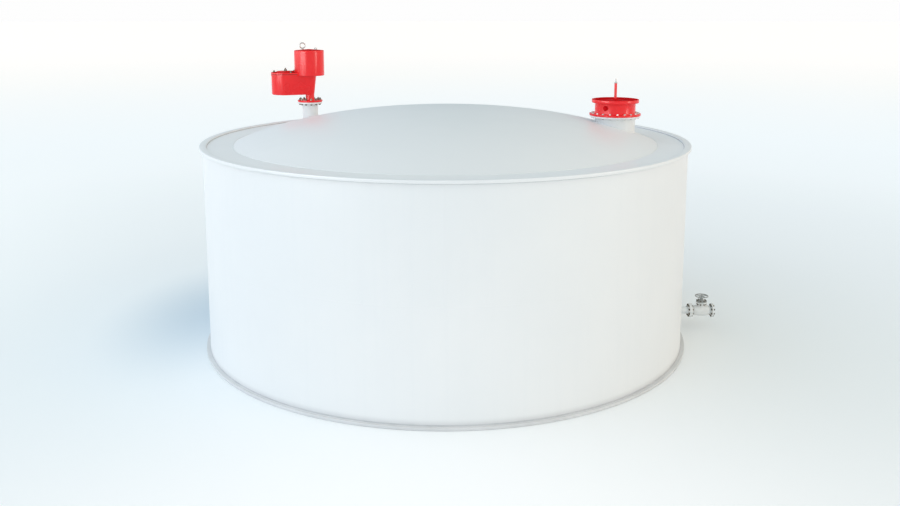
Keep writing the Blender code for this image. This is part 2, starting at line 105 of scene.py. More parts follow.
floor_paint = bpy.data.materials.new("studio_floor")
floor_paint.use_nodes = True
tree = floor_paint.node_tree
shader = tree.nodes["Principled BSDF"]
shader.inputs["Roughness"].default_value = FLOOR_ROUGHNESS
shader.inputs["Specular IOR Level"].default_value = FLOOR_SHINE
# Painted light: the floor glows more the farther it lies from the tank's axis, until it turns white.
shader.inputs["Emission Strength"].default_value = 1.0
place = shader_node(tree, "ShaderNodeTexCoord")
away = shader_node(tree, "ShaderNodeVectorMath", operation="LENGTH")
glow_ramp = shader_node(tree, "ShaderNodeValToRGB")
glow_ramp.color_ramp.elements.remove(glow_ramp.color_ramp.elements[1])
glow_ramp.color_ramp.elements[0].position = GLOW_STEPS[0][0] / GLOW_REACH
for distance, glow in GLOW_STEPS[1:]:
    glow_ramp.color_ramp.elements.new(distance / GLOW_REACH).color = (*glow, 1)
link(tree, place.outputs["Object"], away.inputs[0])
link(tree, ramped(tree, away.outputs["Value"], 0.0, GLOW_REACH), glow_ramp.inputs["Fac"])
link(tree, glow_ramp.outputs["Color"], shader.inputs["Emission Color"])
# Painted shadow: the floor's colour darkens to a soft patch beside the tank's left.
beside = shader_node(tree, "ShaderNodeVectorMath", operation="SUBTRACT")
beside.inputs[1].default_value = PAINTED_SHADOW_SPOT
scaled = shader_node(tree, "ShaderNodeVectorMath", operation="DIVIDE")
scaled.inputs[1].default_value = PAINTED_SHADOW_SIZE
far = shader_node(tree, "ShaderNodeVectorMath", operation="LENGTH")
tone = shader_node(tree, "ShaderNodeMix", data_type="RGBA")
tone.inputs["A"].default_value = FLOOR_TONE
tone.inputs["B"].default_value = PAINTED_SHADOW_TONE
link(tree, place.outputs["Object"], beside.inputs[0])
link(tree, beside.outputs["Vector"], scaled.inputs[0])
link(tree, scaled.outputs["Vector"], far.inputs[0])
painted_shadow = ramped(tree, far.outputs["Value"], 0.0, 1.0, 1.0, 0.0, interpolation_type="SMOOTHSTEP")
link(tree, painted_shadow, tone.inputs["Factor"])
link(tree, tone.outputs["Result"], shader.inputs["Base Color"])

floor_shape = bmesh.new()
bmesh.ops.create_circle(floor_shape, cap_ends=True, segments=FLOOR_SIDES, radius=FLOOR_RADIUS)
floor_mesh = bpy.data.meshes.new("floor")
floor_shape.to_mesh(floor_mesh)
floor_shape.free()
floor_mesh.materials.append(floor_paint)
floor = bpy.data.objects.new("floor", floor_mesh)
floor.location.z = -FLOOR_DROP
bpy.context.scene.collection.objects.link(floor)

# Studio light
# A soft white surround, cool on the left, warm on the right and weaker behind. A small soft box in front
# makes the pool of light on the floor, one at each side shapes the tank, and two strips show only in gloss.
BACKDROP = (0.99, 0.99, 0.99, 1)
SURROUND = (
    ((0, 0, 1), (0.166, 0.315, 0.340), 0.0),
    ((-1, 0, 0), (1.364, 1.296, 1.412), 0.0),
    ((1, 0, 0), (1.293, 0.986, 0.806), 0.0),
    ((0, -1, 0), (0.616, 0.719, 0.768), 0.0),
    ((0, 1, 0), (0.231, 0.348, 0.420), 1.0),
)

world = bpy.data.worlds.new("studio")
world.use_nodes = True
bpy.context.scene.world = world
tree = world.node_tree
place = shader_node(tree, "ShaderNodeTexCoord")
axes = shader_node(tree, "ShaderNodeSeparateXYZ")
link(tree, place.outputs["Generated"], axes.inputs["Vector"])
total = None
for direction, colour, falls_with_height in SURROUND:
    facing = shader_node(tree, "ShaderNodeVectorMath", operation="DOT_PRODUCT")
    facing.inputs[1].default_value = direction
    ahead = shader_node(tree, "ShaderNodeMath", operation="MAXIMUM")
    ahead.inputs[1].default_value = 0.0
    lower = shader_node(tree, "ShaderNodeMath", operation="MULTIPLY_ADD", use_clamp=True)
    lower.inputs[1].default_value = -falls_with_height
    lower.inputs[2].default_value = 1.0
    strength = shader_node(tree, "ShaderNodeMath", operation="MULTIPLY")
    glow = shader_node(tree, "ShaderNodeVectorMath", operation="SCALE")
    glow.inputs[0].default_value = colour
    link(tree, place.outputs["Generated"], facing.inputs[0])
    link(tree, facing.outputs["Value"], ahead.inputs[0])
    link(tree, axes.outputs["Z"], lower.inputs[0])
    link(tree, ahead.outputs["Value"], strength.inputs[0])
    link(tree, lower.outputs["Value"], strength.inputs[1])
    link(tree, strength.outputs["Value"], glow.inputs["Scale"])
    if total:
        added = shader_node(tree, "ShaderNodeVectorMath", operation="ADD")
        link(tree, total.outputs["Vector"], added.inputs[0])
        link(tree, glow.outputs["Vector"], added.inputs[1])
        total = added
    else:
        total = glow
seen = shader_node(tree, "ShaderNodeLightPath")
shown = shader_node(tree, "ShaderNodeMix", data_type="RGBA")
shown.inputs["B"].default_value = BACKDROP
link(tree, seen.outputs["Is Camera Ray"], shown.inputs["Factor"])
link(tree, total.outputs["Vector"], shown.inputs["A"])
link(tree, shown.outputs["Result"], tree.nodes["Background"].inputs["Color"])


def soft_box(name, spot, aim, size, watts, colour, spread=180, gloss_only=False):
    lamp = bpy.data.lights.new(name, "AREA")
    lamp.shape = "RECTANGLE"
    lamp.size, lamp.size_y = size
    lamp.energy = watts
    lamp.color = colour
    lamp.spread = math.radians(spread)
    made = bpy.data.objects.new(name, lamp)
    made.location = spot
    made.rotation_euler = (Vector(aim) - Vector(spot)).to_track_quat("-Z", "Y").to_euler()
    made.visible_diffuse = not gloss_only
    bpy.context.scene.collection.objects.link(made)


TANK_MIDDLE = (0, 0, 2.0)
HOOD_MIDDLE = (-2.3, 2.5, 4.1)
soft_box("pool_light", (0, -8.0, 6.5), (0, -7.8, 0), (8.0, 3.0), 45, (1.0, 0.78, 0.67), 95)
soft_box("left_light", (-18.0, 0, 6.5), TANK_MIDDLE, (12.0, 7.0), 293, (0.96, 1.0, 0.93))
soft_box("right_light", (15.0, -8.0, 6.5), TANK_MIDDLE, (2.2, 8.0), 106, (1.0, 0.70, 0.20))
soft_box("left_strip", (-11.6, -8.5, 5.2), HOOD_MIDDLE, (11.0, 6.0), 1080, (1.0, 1.0, 1.0), gloss_only=True)
soft_box("right_strip", (13.0, -5.4, 5.6), HOOD_MIDDLE, (1.6, 6.0), 330, (1.0, 1.0, 1.0), gloss_only=True)

# Foot ring and bottom plate
# A flat steel ring under the shell's edge, in four lengths, with the bottom plate inside it. The shell is
# welded on the ring; a grey bead along that joint is painted shade, and the ring's grey paint is painted
# shade too.
TANK_SIDES = 256
RING_LENGTHS = 4
RING_EDGE_ROUND = 0.004
WELD_SIZE = 0.007
WELD_STEPS = 2
FOOT_SHADOW_BEAD_SIZE = 0.011
STREAK_STRETCH = (9.0, 9.0, 0.35)
STREAK_RANGE = (0.5, 0.8)
CLOUD_RANGE = (0.35, 0.65)
FOOT_SHADE_BAND = (0.04, 0.13)
FOOT_SHADE_TONE = (0.45, 0.47, 0.49, 1)
STRAIGHT = math.radians(165)
ROUND_SHARE = 0.45
SHARP_EDGE = math.radians(40)


def paint_film():
    """Sprayed paint: its tone drifts over a plate, faint run-off marks hang down it, its film ripples, and
    its foot is darkened with painted shade."""
    group = bpy.data.node_groups.new("paint_film", "ShaderNodeTree")
    for name in ("Colour", "Faded Colour"):
        group.interface.new_socket(name, in_out="INPUT", socket_type="NodeSocketColor")
    for name in ("Drift Size", "Run-off", "Ripple Size", "Gloss Roughness", "Dull Roughness", "Foot Shade"):
        group.interface.new_socket(name, in_out="INPUT", socket_type="NodeSocketFloat")
    group.interface.new_socket("Colour", in_out="OUTPUT", socket_type="NodeSocketColor")
    for name in ("Roughness", "Ripple"):
        group.interface.new_socket(name, in_out="OUTPUT", socket_type="NodeSocketFloat")
    given = shader_node(group, "NodeGroupInput")
    result = shader_node(group, "NodeGroupOutput")
    place = shader_node(group, "ShaderNodeTexCoord")
    drift = shader_node(group, "ShaderNodeTexNoise")
    drift.inputs["Detail"].default_value = 3.0
    link(group, place.outputs["Object"], drift.inputs["Vector"])
    link(group, given.outputs["Drift Size"], drift.inputs["Scale"])
    stretch = shader_node(group, "ShaderNodeMapping")
    stretch.inputs["Scale"].default_value = STREAK_STRETCH
    streaks = shader_node(group, "ShaderNodeTexNoise")
    streaks.inputs["Scale"].default_value = 1.0
    streaks.inputs["Detail"].default_value = 4.0
    link(group, place.outputs["Object"], stretch.inputs["Vector"])
    link(group, stretch.outputs["Vector"], streaks.inputs["Vector"])
    marks = shader_node(group, "ShaderNodeMath", operation="MULTIPLY")
    link(group, ramped(group, streaks.outputs["Fac"], *STREAK_RANGE), marks.inputs[0])
    link(group, given.outputs["Run-off"], marks.inputs[1])
    both = shader_node(group, "ShaderNodeMath", operation="ADD", use_clamp=True)
    link(group, marks.outputs["Value"], both.inputs[0])
    link(group, ramped(group, drift.outputs["Fac"], *CLOUD_RANGE), both.inputs[1])
    tone = shader_node(group, "ShaderNodeMix", data_type="RGBA")
    link(group, both.outputs["Value"], tone.inputs["Factor"])
    link(group, given.outputs["Colour"], tone.inputs["A"])
    link(group, given.outputs["Faded Colour"], tone.inputs["B"])
    dull = shader_node(group, "ShaderNodeMapRange")
    link(group, both.outputs["Value"], dull.inputs["Value"])
    link(group, given.outputs["Gloss Roughness"], dull.inputs["To Min"])
    link(group, given.outputs["Dull Roughness"], dull.inputs["To Max"])
    ripple = shader_node(group, "ShaderNodeTexNoise")
    ripple.inputs["Detail"].default_value = 2.0
    link(group, place.outputs["Object"], ripple.inputs["Vector"])
    link(group, given.outputs["Ripple Size"], ripple.inputs["Scale"])
    # Painted shade: near the bottom of a piece its colour is darkened towards grey.
    axes = shader_node(group, "ShaderNodeSeparateXYZ")
    link(group, place.outputs["Object"], axes.inputs["Vector"])
    low = ramped(group, axes.outputs["Z"], *FOOT_SHADE_BAND, 1.0, 0.0, interpolation_type="SMOOTHSTEP")
    foot_shaded = shader_node(group, "ShaderNodeMath", operation="MULTIPLY")
    link(group, low, foot_shaded.inputs[0])
    link(group, given.outputs["Foot Shade"], foot_shaded.inputs[1])
    foot_shading = shader_node(group, "ShaderNodeMix", data_type="RGBA")
    foot_shading.inputs["B"].default_value = FOOT_SHADE_TONE
    link(group, foot_shaded.outputs["Value"], foot_shading.inputs["Factor"])
    link(group, tone.outputs["Result"], foot_shading.inputs["A"])
    link(group, foot_shading.outputs["Result"], result.inputs["Colour"])
    link(group, dull.outputs["Result"], result.inputs["Roughness"])
    link(group, ripple.outputs["Fac"], result.inputs["Ripple"])
    return group


PAINT_FILM = paint_film()


def painted(name, colour, faded, drift=0.6, run_off=0.0, ripple=45.0, ripple_depth=0.0004, gloss=0.32,
            dull=0.44, foot_shade=0.0, shine=0.5):
    """A painted finish made with the paint film, on its own Principled shader; half gloss if not told."""
    made = bpy.data.materials.new(name)
    made.use_nodes = True
    tree = made.node_tree
    shader = tree.nodes["Principled BSDF"]
    film = shader_node(tree, "ShaderNodeGroup", node_tree=PAINT_FILM)
    film.inputs["Colour"].default_value = (*colour, 1)
    film.inputs["Faded Colour"].default_value = (*faded, 1)
    for socket, value in (("Drift Size", drift), ("Run-off", run_off), ("Ripple Size", ripple),
                          ("Gloss Roughness", gloss), ("Dull Roughness", dull), ("Foot Shade", foot_shade)):
        film.inputs[socket].default_value = value
    shader.inputs["Specular IOR Level"].default_value = shine
    bump = shader_node(tree, "ShaderNodeBump")
    bump.inputs["Strength"].default_value = 1.0
    bump.inputs["Distance"].default_value = ripple_depth
    link(tree, film.outputs["Colour"], shader.inputs["Base Color"])
    link(tree, film.outputs["Roughness"], shader.inputs["Roughness"])
    link(tree, film.outputs["Ripple"], bump.inputs["Height"])
    link(tree, bump.outputs["Normal"], shader.inputs["Normal"])
    return made


WHITE_PAINT = painted("white_paint", (0.80, 0.82, 0.825), (0.775, 0.80, 0.81), run_off=0.5)
# The shell's paint is darkened at its foot: painted shade in the corner over the foot ring.
SHELL_PAINT = painted("shell_paint", (0.80, 0.82, 0.825), (0.775, 0.80, 0.81), run_off=0.5, foot_shade=0.35,
                      shine=0.38)
# The ring's grey is painted shade for the foot of the tank.
FOOT_SHADED_PAINT = painted("foot_shaded_paint", (0.66, 0.675, 0.685), (0.60, 0.615, 0.625), drift=1.5, run_off=0.3,
                     ripple=60.0, gloss=0.45, dull=0.60)
# Grey beads in corners and under edges: painted shade where the parts shadow each other.
SHADOW_BEAD_PAINT = painted("shadow_bead_grey", (0.55, 0.57, 0.59), (0.49, 0.51, 0.53), drift=3.0, run_off=0.2,
                  ripple=90.0, ripple_depth=0.0003, gloss=0.55, dull=0.70)


def rounded(outline, radius, steps=3):
    """The closed outline of (radius, height) points with every corner off the axis rounded."""
    points = []
    for i, here in enumerate(outline):
        corner = Vector(here)
        back = Vector(outline[i - 1]) - corner
        ahead = Vector(outline[(i + 1) % len(outline)]) - corner
        bend = back.angle(ahead)
        if here[0] == 0 or bend > STRAIGHT:
            points.append(here)
            continue
        reach = min(radius / math.tan(bend / 2), ROUND_SHARE * back.length, ROUND_SHARE * ahead.length)
        start = corner + back.normalized() * reach
        end = corner + ahead.normalized() * reach
        for k in range(steps + 1):
            t = k / steps
            points.append(tuple(start * (1 - t) ** 2 + corner * 2 * t * (1 - t) + end * t * t))
    return points


def turned(outline, sides, centre=(0, 0, 0)):
    """A closed shape turned once round the vertical through centre; radius 0 lies on the axis."""
    shape = bmesh.new()
    rings = []
    for radius, height in outline:
        if radius == 0:
            rings.append([shape.verts.new(Vector(centre) + Vector((0, 0, height)))] * sides)
            continue
        ring = []
        for i in range(sides):
            angle = 2 * math.pi * i / sides
            spot = Vector((radius * math.cos(angle), radius * math.sin(angle), height))
            ring.append(shape.verts.new(Vector(centre) + spot))
        rings.append(ring)
    for ring, following in zip(rings, rings[1:] + rings[:1]):
        for i in range(sides):
            corners = [ring[i], ring[(i + 1) % sides], following[(i + 1) % sides], following[i]]
            unique = [c for k, c in enumerate(corners) if c not in corners[:k]]
            if len(unique) > 2:
                shape.faces.new(unique)
    return shape


def piece(name, shape, material, body="tank", nodes=()):
    """One shown piece of the tank: its mesh, finish, the body it rides on and the nodes it stands for."""
    bmesh.ops.recalc_face_normals(shape, faces=shape.faces)
    mesh = bpy.data.meshes.new(name)
    shape.to_mesh(mesh)
    shape.free()
    mesh.shade_smooth()
    mesh.set_sharp_from_angle(angle=SHARP_EDGE)
    mesh.materials.append(material)
    made = bpy.data.objects.new(name, mesh)
    bpy.context.scene.collection.objects.link(made)
    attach(made, body)
    if nodes:
        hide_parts(*nodes)
    return made


def numbered(name, count):
    return [f"{name}_{i + 1}" for i in range(count)]


def weld(name, path, size, material=WHITE_PAINT, closed=True):
    """A bead along a path of points, half sunk in the corner it fills: weld metal, or a grey bead of painted
    shade.
    """
    line = bpy.data.curves.new(name, "CURVE")
    line.dimensions = "3D"
    line.bevel_depth = size
    line.bevel_resolution = WELD_STEPS
    spline = line.splines.new("POLY")
    spline.points.add(len(path) - 1)
    for point, spot in zip(spline.points, path):
        point.co = (*spot, 1)
    spline.use_cyclic_u = closed
    line.use_fill_caps = not closed
    line.materials.append(material)
    made = bpy.data.objects.new(name, line)
    bpy.context.scene.collection.objects.link(made)
    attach(made, "tank")
    return made


def circle(radius, height, sides, centre=(0, 0), turn=0.0):
    """Points once round a level circle, from the angle given."""
    angles = (turn + 2 * math.pi * i / sides for i in range(sides))
    return [(centre[0] + radius * math.cos(a), centre[1] + radius * math.sin(a), height) for a in angles]


ring_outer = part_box("foot_ring_1")[1].x
ring_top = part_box("foot_ring_1")[1].z
ring_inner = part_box("bottom_plate")[1].x
shell_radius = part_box("shell_lower_1")[1].x
outline = [(ring_inner, 0), (ring_outer, 0), (ring_outer, ring_top), (ring_inner, ring_top)]
piece("foot_ring", turned(rounded(outline, RING_EDGE_ROUND), TANK_SIDES), FOOT_SHADED_PAINT,
      nodes=numbered("foot_ring", RING_LENGTHS))
# A grey bead round the shell's foot: painted shade in the corner with the ring.
weld("foot_shadow_bead", circle(shell_radius, ring_top, TANK_SIDES), FOOT_SHADOW_BEAD_SIZE, SHADOW_BEAD_PAINT)
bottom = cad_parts["bottom_plate"]
bottom.data.materials.clear()
bottom.data.materials.append(WHITE_PAINT)

# Shell
# Two courses of rolled steel plate, four plates to each, butt welded. The welds are ground nearly flush
# and painted over, so they show only as low bands when the eye is close.
PLATES = 4
PLATE_THICKNESS = 0.008
SEAM_WIDTH = 0.016
SEAM_RISE = 0.0007
SEAM_STEPS = 4


def seam_section():
    """The low bulge of a ground weld, as (along the plate, out of the plate) pairs."""
    points = []
    for i in range(SEAM_STEPS + 1):
        across = -1 + 2 * i / SEAM_STEPS
        points.append((across * SEAM_WIDTH / 2, SEAM_RISE * (1 - across**2)))
    return points


def upright_seam(shape, angle, bottom, top):
    """Adds a vertical seam to the shape, closed on the plate's side."""
    out = Vector((math.cos(angle), math.sin(angle), 0))
    along = Vector((-math.sin(angle), math.cos(angle), 0))
    section = [(-SEAM_WIDTH / 2, -SEAM_RISE)] + seam_section() + [(SEAM_WIDTH / 2, -SEAM_RISE)]
    ends = []
    for height in (bottom, top):
        ring = []
        for side, rise in section:
            spot = out * (shell_radius + rise) + along * side
            ring.append(shape.verts.new((spot.x, spot.y, height)))
        ends.append(ring)
    low, high = ends
    shape.faces.new(low)
    shape.faces.new(high)
    for i in range(len(section)):
        j = (i + 1) % len(section)
        shape.faces.new((low[i], low[j], high[j], high[i]))


course_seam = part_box("shell_upper_1")[0].z
shell_inner = shell_radius - PLATE_THICKNESS
curb_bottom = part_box("top_curb_1")[0].z
for name, low, high in (("shell_lower", ring_top, course_seam), ("shell_upper", course_seam, curb_bottom)):
    outline = [(shell_inner, low), (shell_radius, low), (shell_radius, high), (shell_inner, high)]
    piece(f"{name}_course", turned(outline, TANK_SIDES), SHELL_PAINT,
          nodes=numbered(name, PLATES))

level = [(shell_radius + rise, course_seam + side) for side, rise in seam_section()]
buried = shell_radius - SEAM_RISE
inside = [(buried, course_seam + SEAM_WIDTH / 2), (buried, course_seam - SEAM_WIDTH / 2)]
seams = turned(level + inside, TANK_SIDES)
for i in range(PLATES):
    quarter = 2 * math.pi / PLATES
    upright_seam(seams, quarter * (i + 0.5), ring_top, course_seam - SEAM_WIDTH / 2)
    upright_seam(seams, quarter * i, course_seam + SEAM_WIDTH / 2, curb_bottom)
piece("shell_seams", seams, SHELL_PAINT)

# Top curb
# A flat bar rolled to the tank's rim and welded on the shell, wider than the plate on both sides. It
# stiffens the edge and carries the roof. A grey bead along the joint underneath is painted shadow under it.
CURB_EDGE_ROUND = 0.009
CURB_SHADOW_BEAD_SIZE = 0.011
CURB_INNER = 3.546

curb_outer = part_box("top_curb_1")[1].x
curb_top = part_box("top_curb_1")[1].z
outline = [(CURB_INNER, curb_bottom), (curb_outer, curb_bottom), (curb_outer, curb_top),
           (CURB_INNER, curb_top)]
piece("top_curb", turned(rounded(outline, CURB_EDGE_ROUND), TANK_SIDES), WHITE_PAINT,
      nodes=numbered("top_curb", RING_LENGTHS))
weld("curb_shadow_bead", circle(shell_radius, curb_bottom, TANK_SIDES), CURB_SHADOW_BEAD_SIZE, SHADOW_BEAD_PAINT)

# Roof
# A flat edge plate inside the curb, along its joint a grey bead of painted shade, and on it a low dome of six
# petals and a round crown plate. All are 8 mm steel, welded, with the dome's seams ground nearly flush, in
# white.
ROOF_PLATE = 0.008
ROOF_EDGE_INNER = 3.100
DOME_FOOT = 3.173
DOME_RISE = 0.482
DOME_SQUARE_TERM = 0.0343
DOME_STATIONS = 40
CROWN_RADIUS = 0.620
PETALS = 6
ROOF_SEAM = 0.004
ROOF_SEAM_SUNK = 0.0032
ROOF_SHADOW_BEAD_SIZE = 0.009

# Painted light: the edge plate's white is lighter than the dome's, evening out the shade the flat plate gets
# beside the dome.
EDGE_PAINTED_LIGHT = painted("edge_painted_light", (0.825, 0.845, 0.85), (0.80, 0.825, 0.835), drift=0.8)
DOME_PAINT = painted("dome_paint", (0.81, 0.83, 0.835), (0.79, 0.812, 0.82))

edge_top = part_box("roof_edge_1")[1].z
edge_low = edge_top - ROOF_PLATE
outline = [(ROOF_EDGE_INNER, edge_low), (CURB_INNER, edge_low), (CURB_INNER, edge_top),
           (ROOF_EDGE_INNER, edge_top)]
piece("roof_edge", turned(outline, TANK_SIDES), EDGE_PAINTED_LIGHT,
      nodes=numbered("roof_edge", RING_LENGTHS))
weld("roof_edge_shadow_bead", circle(CURB_INNER, edge_top, TANK_SIDES), ROOF_SHADOW_BEAD_SIZE, SHADOW_BEAD_PAINT)


def dome_height(radius):
    """Height of the dome's outer face: flat at the crown and steeper towards its foot."""
    fourth = (DOME_RISE - DOME_SQUARE_TERM * DOME_FOOT**2) / DOME_FOOT**4
    return edge_top + DOME_RISE - DOME_SQUARE_TERM * radius**2 - fourth * radius**4


stations = [DOME_FOOT * i / DOME_STATIONS for i in range(DOME_STATIONS + 1)]
upper = [(r, dome_height(r)) for r in stations]
under = [(r, dome_height(r) - ROOF_PLATE) for r in stations[:-1]]
piece("roof_dome", turned(upper + under[::-1], TANK_SIDES), DOME_PAINT,
      nodes=numbered("roof_petal", PETALS) + ["roof_crown"])
weld("dome_foot_weld", circle(DOME_FOOT, edge_top, TANK_SIDES), WELD_SIZE)
crown_seam = dome_height(CROWN_RADIUS) - ROOF_SEAM_SUNK
weld("crown_weld", circle(CROWN_RADIUS, crown_seam, TANK_SIDES // 2), ROOF_SEAM, DOME_PAINT)
for i in range(PETALS):
    angle = 2 * math.pi * (i + 0.5) / PETALS
    path = []
    for r in stations:
        if r > CROWN_RADIUS:
            path.append((r * math.cos(angle), r * math.sin(angle), dome_height(r) - ROOF_SEAM_SUNK))
    weld(f"petal_weld_{i + 1}", path, ROOF_SEAM, DOME_PAINT, closed=False)

# Breather nozzle
# A length of 273 mm pipe through the roof's edge plate, with a flat flange welded round its top. It is
# painted white with the tank, and the breather stands on it.
PIPE_SIDES = 64
BREATHER_PIPE = 0.1365
BREATHER_PIPE_WALL = 0.0063
FLANGE_EDGE_ROUND = 0.0025
FLANGE_BACK = 3.340

low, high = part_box("breather_nozzle")
breather = (low + high) / 2
breather.z = 0
breather_flange = (high.x - low.x) / 2
nozzle_foot = low.z
nozzle_face = high.z
bore = BREATHER_PIPE - BREATHER_PIPE_WALL
outline = [(BREATHER_PIPE, nozzle_foot), (BREATHER_PIPE, FLANGE_BACK), (breather_flange, FLANGE_BACK),
           (breather_flange, nozzle_face), (bore, nozzle_face), (bore, nozzle_foot)]
piece("breather_nozzle_pipe", turned(rounded(outline, FLANGE_EDGE_ROUND), PIPE_SIDES, breather), WHITE_PAINT,
      nodes=["breather_nozzle"])
weld("breather_foot_weld", circle(BREATHER_PIPE, edge_top, PIPE_SIDES, breather), WELD_SIZE)
weld("breather_flange_weld", circle(BREATHER_PIPE, FLANGE_BACK, PIPE_SIDES, breather), WELD_SIZE)

# Breather body
# One red-painted casting: a round flange, a neck that widens upwards, and a side arm with a round end. It
# is bolted on the nozzle and keeps its gloss; the tops above it carry a darker matt red, which is painted
# shade.
BODY_FLANGE = 0.218
BODY_FLANGE_TOP = 3.402
ARM_BOTTOM = 3.500
ARM_TOP = 3.8327
ARM_END = 0.247
ARM_REACH = 0.424
COLUMN_FOOT = 0.080
COLUMN_HEAD = 0.118
CAST_ROUND = 0.016
NECK_RADIUS = 0.0765
NECK_FLARE = 0.011
NECK_INTO_ARM = 0.02
ARM_STEPS = 32
ROUND_STEPS = 4
LEVEL_FACE = 0.8
INWARD_FACE = -0.3

RED_PAINT = painted("red_paint", (0.90, 0.011, 0.015), (0.84, 0.009, 0.013), drift=4.0, run_off=0.3,
                    ripple=120.0, ripple_depth=0.0003, gloss=0.20, dull=0.30, shine=0.45)
# A darker matt red: painted shade for tops, the vent's well, its lid and the side plug.
SHADED_MATT_RED = painted("shaded_matt_red", (0.62, 0.006, 0.010), (0.54, 0.005, 0.008), drift=5.0, run_off=0.1,
                   ripple=140.0, gloss=0.75, dull=0.90, shine=0.05)


def arm_plan(end, head):
    """The arm seen from above: a big round end joined to a small one by straight flanks."""
    lean = math.asin((end - head) / ARM_REACH)
    points = []
    for i in range(ARM_STEPS + 1):
        angle = -math.pi / 2 + lean + (math.pi - 2 * lean) * i / ARM_STEPS
        points.append((head * math.cos(angle), head * math.sin(angle)))
    for i in range(ARM_STEPS + 1):
        angle = math.pi / 2 - lean + (math.pi + 2 * lean) * i / ARM_STEPS
        points.append((end * math.cos(angle) - ARM_REACH, end * math.sin(angle)))
    return points


def stacked(layers, centre):
    """A closed shape through level outlines, each given as (height, points), from the lowest up."""
    shape = bmesh.new()
    rings = []
    for height, points in layers:
        rings.append([shape.verts.new(Vector(centre) + Vector((x, y, height))) for x, y in points])
    shape.faces.new(rings[0])
    shape.faces.new(rings[-1])
    for ring, following in zip(rings, rings[1:]):
        for i in range(len(ring)):
            j = (i + 1) % len(ring)
            shape.faces.new((ring[i], ring[j], following[j], following[i]))
    return shape


def carve(target, tool_shape, operation):
    """Joins the tool's shape to the piece, or cuts it away, for good."""
    mesh = bpy.data.meshes.new("tool")
    bmesh.ops.recalc_face_normals(tool_shape, faces=tool_shape.faces)
    tool_shape.to_mesh(mesh)
    tool_shape.free()
    tool = bpy.data.objects.new("tool", mesh)
    bpy.context.scene.collection.objects.link(tool)
    change = target.modifiers.new("carve", "BOOLEAN")
    change.operation = operation
    change.object = tool
    bpy.context.view_layer.update()
    ready = target.evaluated_get(bpy.context.evaluated_depsgraph_get())
    result = bpy.data.meshes.new_from_object(ready)
    target.modifiers.clear()
    target.data = result
    bpy.data.objects.remove(tool)
    result.shade_smooth()
    result.set_sharp_from_angle(angle=SHARP_EDGE)


def paint_shade_over(target, above, centre):
    """Gives the faces over that height that look up, or in towards the centre, the darker matt red of painted
    shade.
    """
    target.data.materials.append(SHADED_MATT_RED)
    for face in target.data.polygons:
        out = Vector((face.center.x - centre.x, face.center.y - centre.y, 0)).normalized()
        if face.center.z > above and (face.normal.z > LEVEL_FACE or face.normal.dot(out) < INWARD_FACE):
            face.material_index = 1


def arm_layers():
    """The arm from its rounded bottom edge up to the lid, widening upwards at the neck's end."""
    layers = []
    for i in range(ROUND_STEPS + 1):
        angle = math.pi / 2 * i / ROUND_STEPS
        inset = CAST_ROUND * (1 - math.sin(angle))
        height = ARM_BOTTOM + CAST_ROUND * (1 - math.cos(angle))
        layers.append((height, arm_plan(ARM_END - inset, COLUMN_FOOT - inset)))
    layers.append((ARM_TOP, arm_plan(ARM_END, COLUMN_HEAD)))
    return layers


outline = [(0, nozzle_face), (BODY_FLANGE, nozzle_face), (BODY_FLANGE, BODY_FLANGE_TOP),
           (NECK_RADIUS, BODY_FLANGE_TOP), (NECK_RADIUS, ARM_BOTTOM),
           (NECK_RADIUS, ARM_BOTTOM + NECK_INTO_ARM), (0, ARM_BOTTOM + NECK_INTO_ARM)]
casting = piece("breather_casting", turned(rounded(outline, NECK_FLARE), PIPE_SIDES, breather), RED_PAINT,
                nodes=["breather_body"])
carve(casting, stacked(arm_layers(), breather), "UNION")

# Breather bolts
# Twelve stud bolts on one circle hold the two flanges together, with a nut above and a nut underneath.
# Their zinc has a dark yellow passivation, patchy where it has worn.
BOLT_CIRCLE = 0.1775
BOLTS = 12
FIRST_BOLT = math.radians(-75)
BREATHER_BOLT = {"flats": 0.034, "thread": 0.0105, "head": 0.020, "stud": 0.016}
HEAD_HEIGHT = 0.0125
NUT_HEIGHT = 0.016
WASHER_HEIGHT = 0.003
THREAD_PAST_NUT = 0.007
WASHER_SHARE = 0.62
CORNER_CUT = 0.12
CORNER_SLOPE = 1.5
DISC_SIDES = 16
SPANGLE_SIZE = 160.0
DULL_BY = 0.18
METAL_SHARE = 0.9


def plated(name, colour, worn, roughness):
    """Zinc plating on steel: a metal whose tone and gloss change in small patches."""
    made = bpy.data.materials.new(name)
    made.use_nodes = True
    tree = made.node_tree
    shader = tree.nodes["Principled BSDF"]
    place = shader_node(tree, "ShaderNodeTexCoord")
    spangle = shader_node(tree, "ShaderNodeTexNoise")
    spangle.inputs["Scale"].default_value = SPANGLE_SIZE
    tone = shader_node(tree, "ShaderNodeMix", data_type="RGBA")
    tone.inputs["A"].default_value = (*colour, 1)
    tone.inputs["B"].default_value = (*worn, 1)
    link(tree, place.outputs["Object"], spangle.inputs["Vector"])
    link(tree, spangle.outputs["Fac"], tone.inputs["Factor"])
    dull = ramped(tree, spangle.outputs["Fac"], 0.0, 1.0, roughness, roughness + DULL_BY)
    link(tree, tone.outputs["Result"], shader.inputs["Base Color"])
    link(tree, dull, shader.inputs["Roughness"])
    shader.inputs["Metallic"].default_value = METAL_SHARE
    return made


ZINC = plated("zinc_plate", (0.60, 0.59, 0.56), (0.40, 0.40, 0.39), roughness=0.28)
DARK_ZINC = plated("dark_zinc", (0.26, 0.225, 0.17), (0.07, 0.065, 0.055), roughness=0.24)


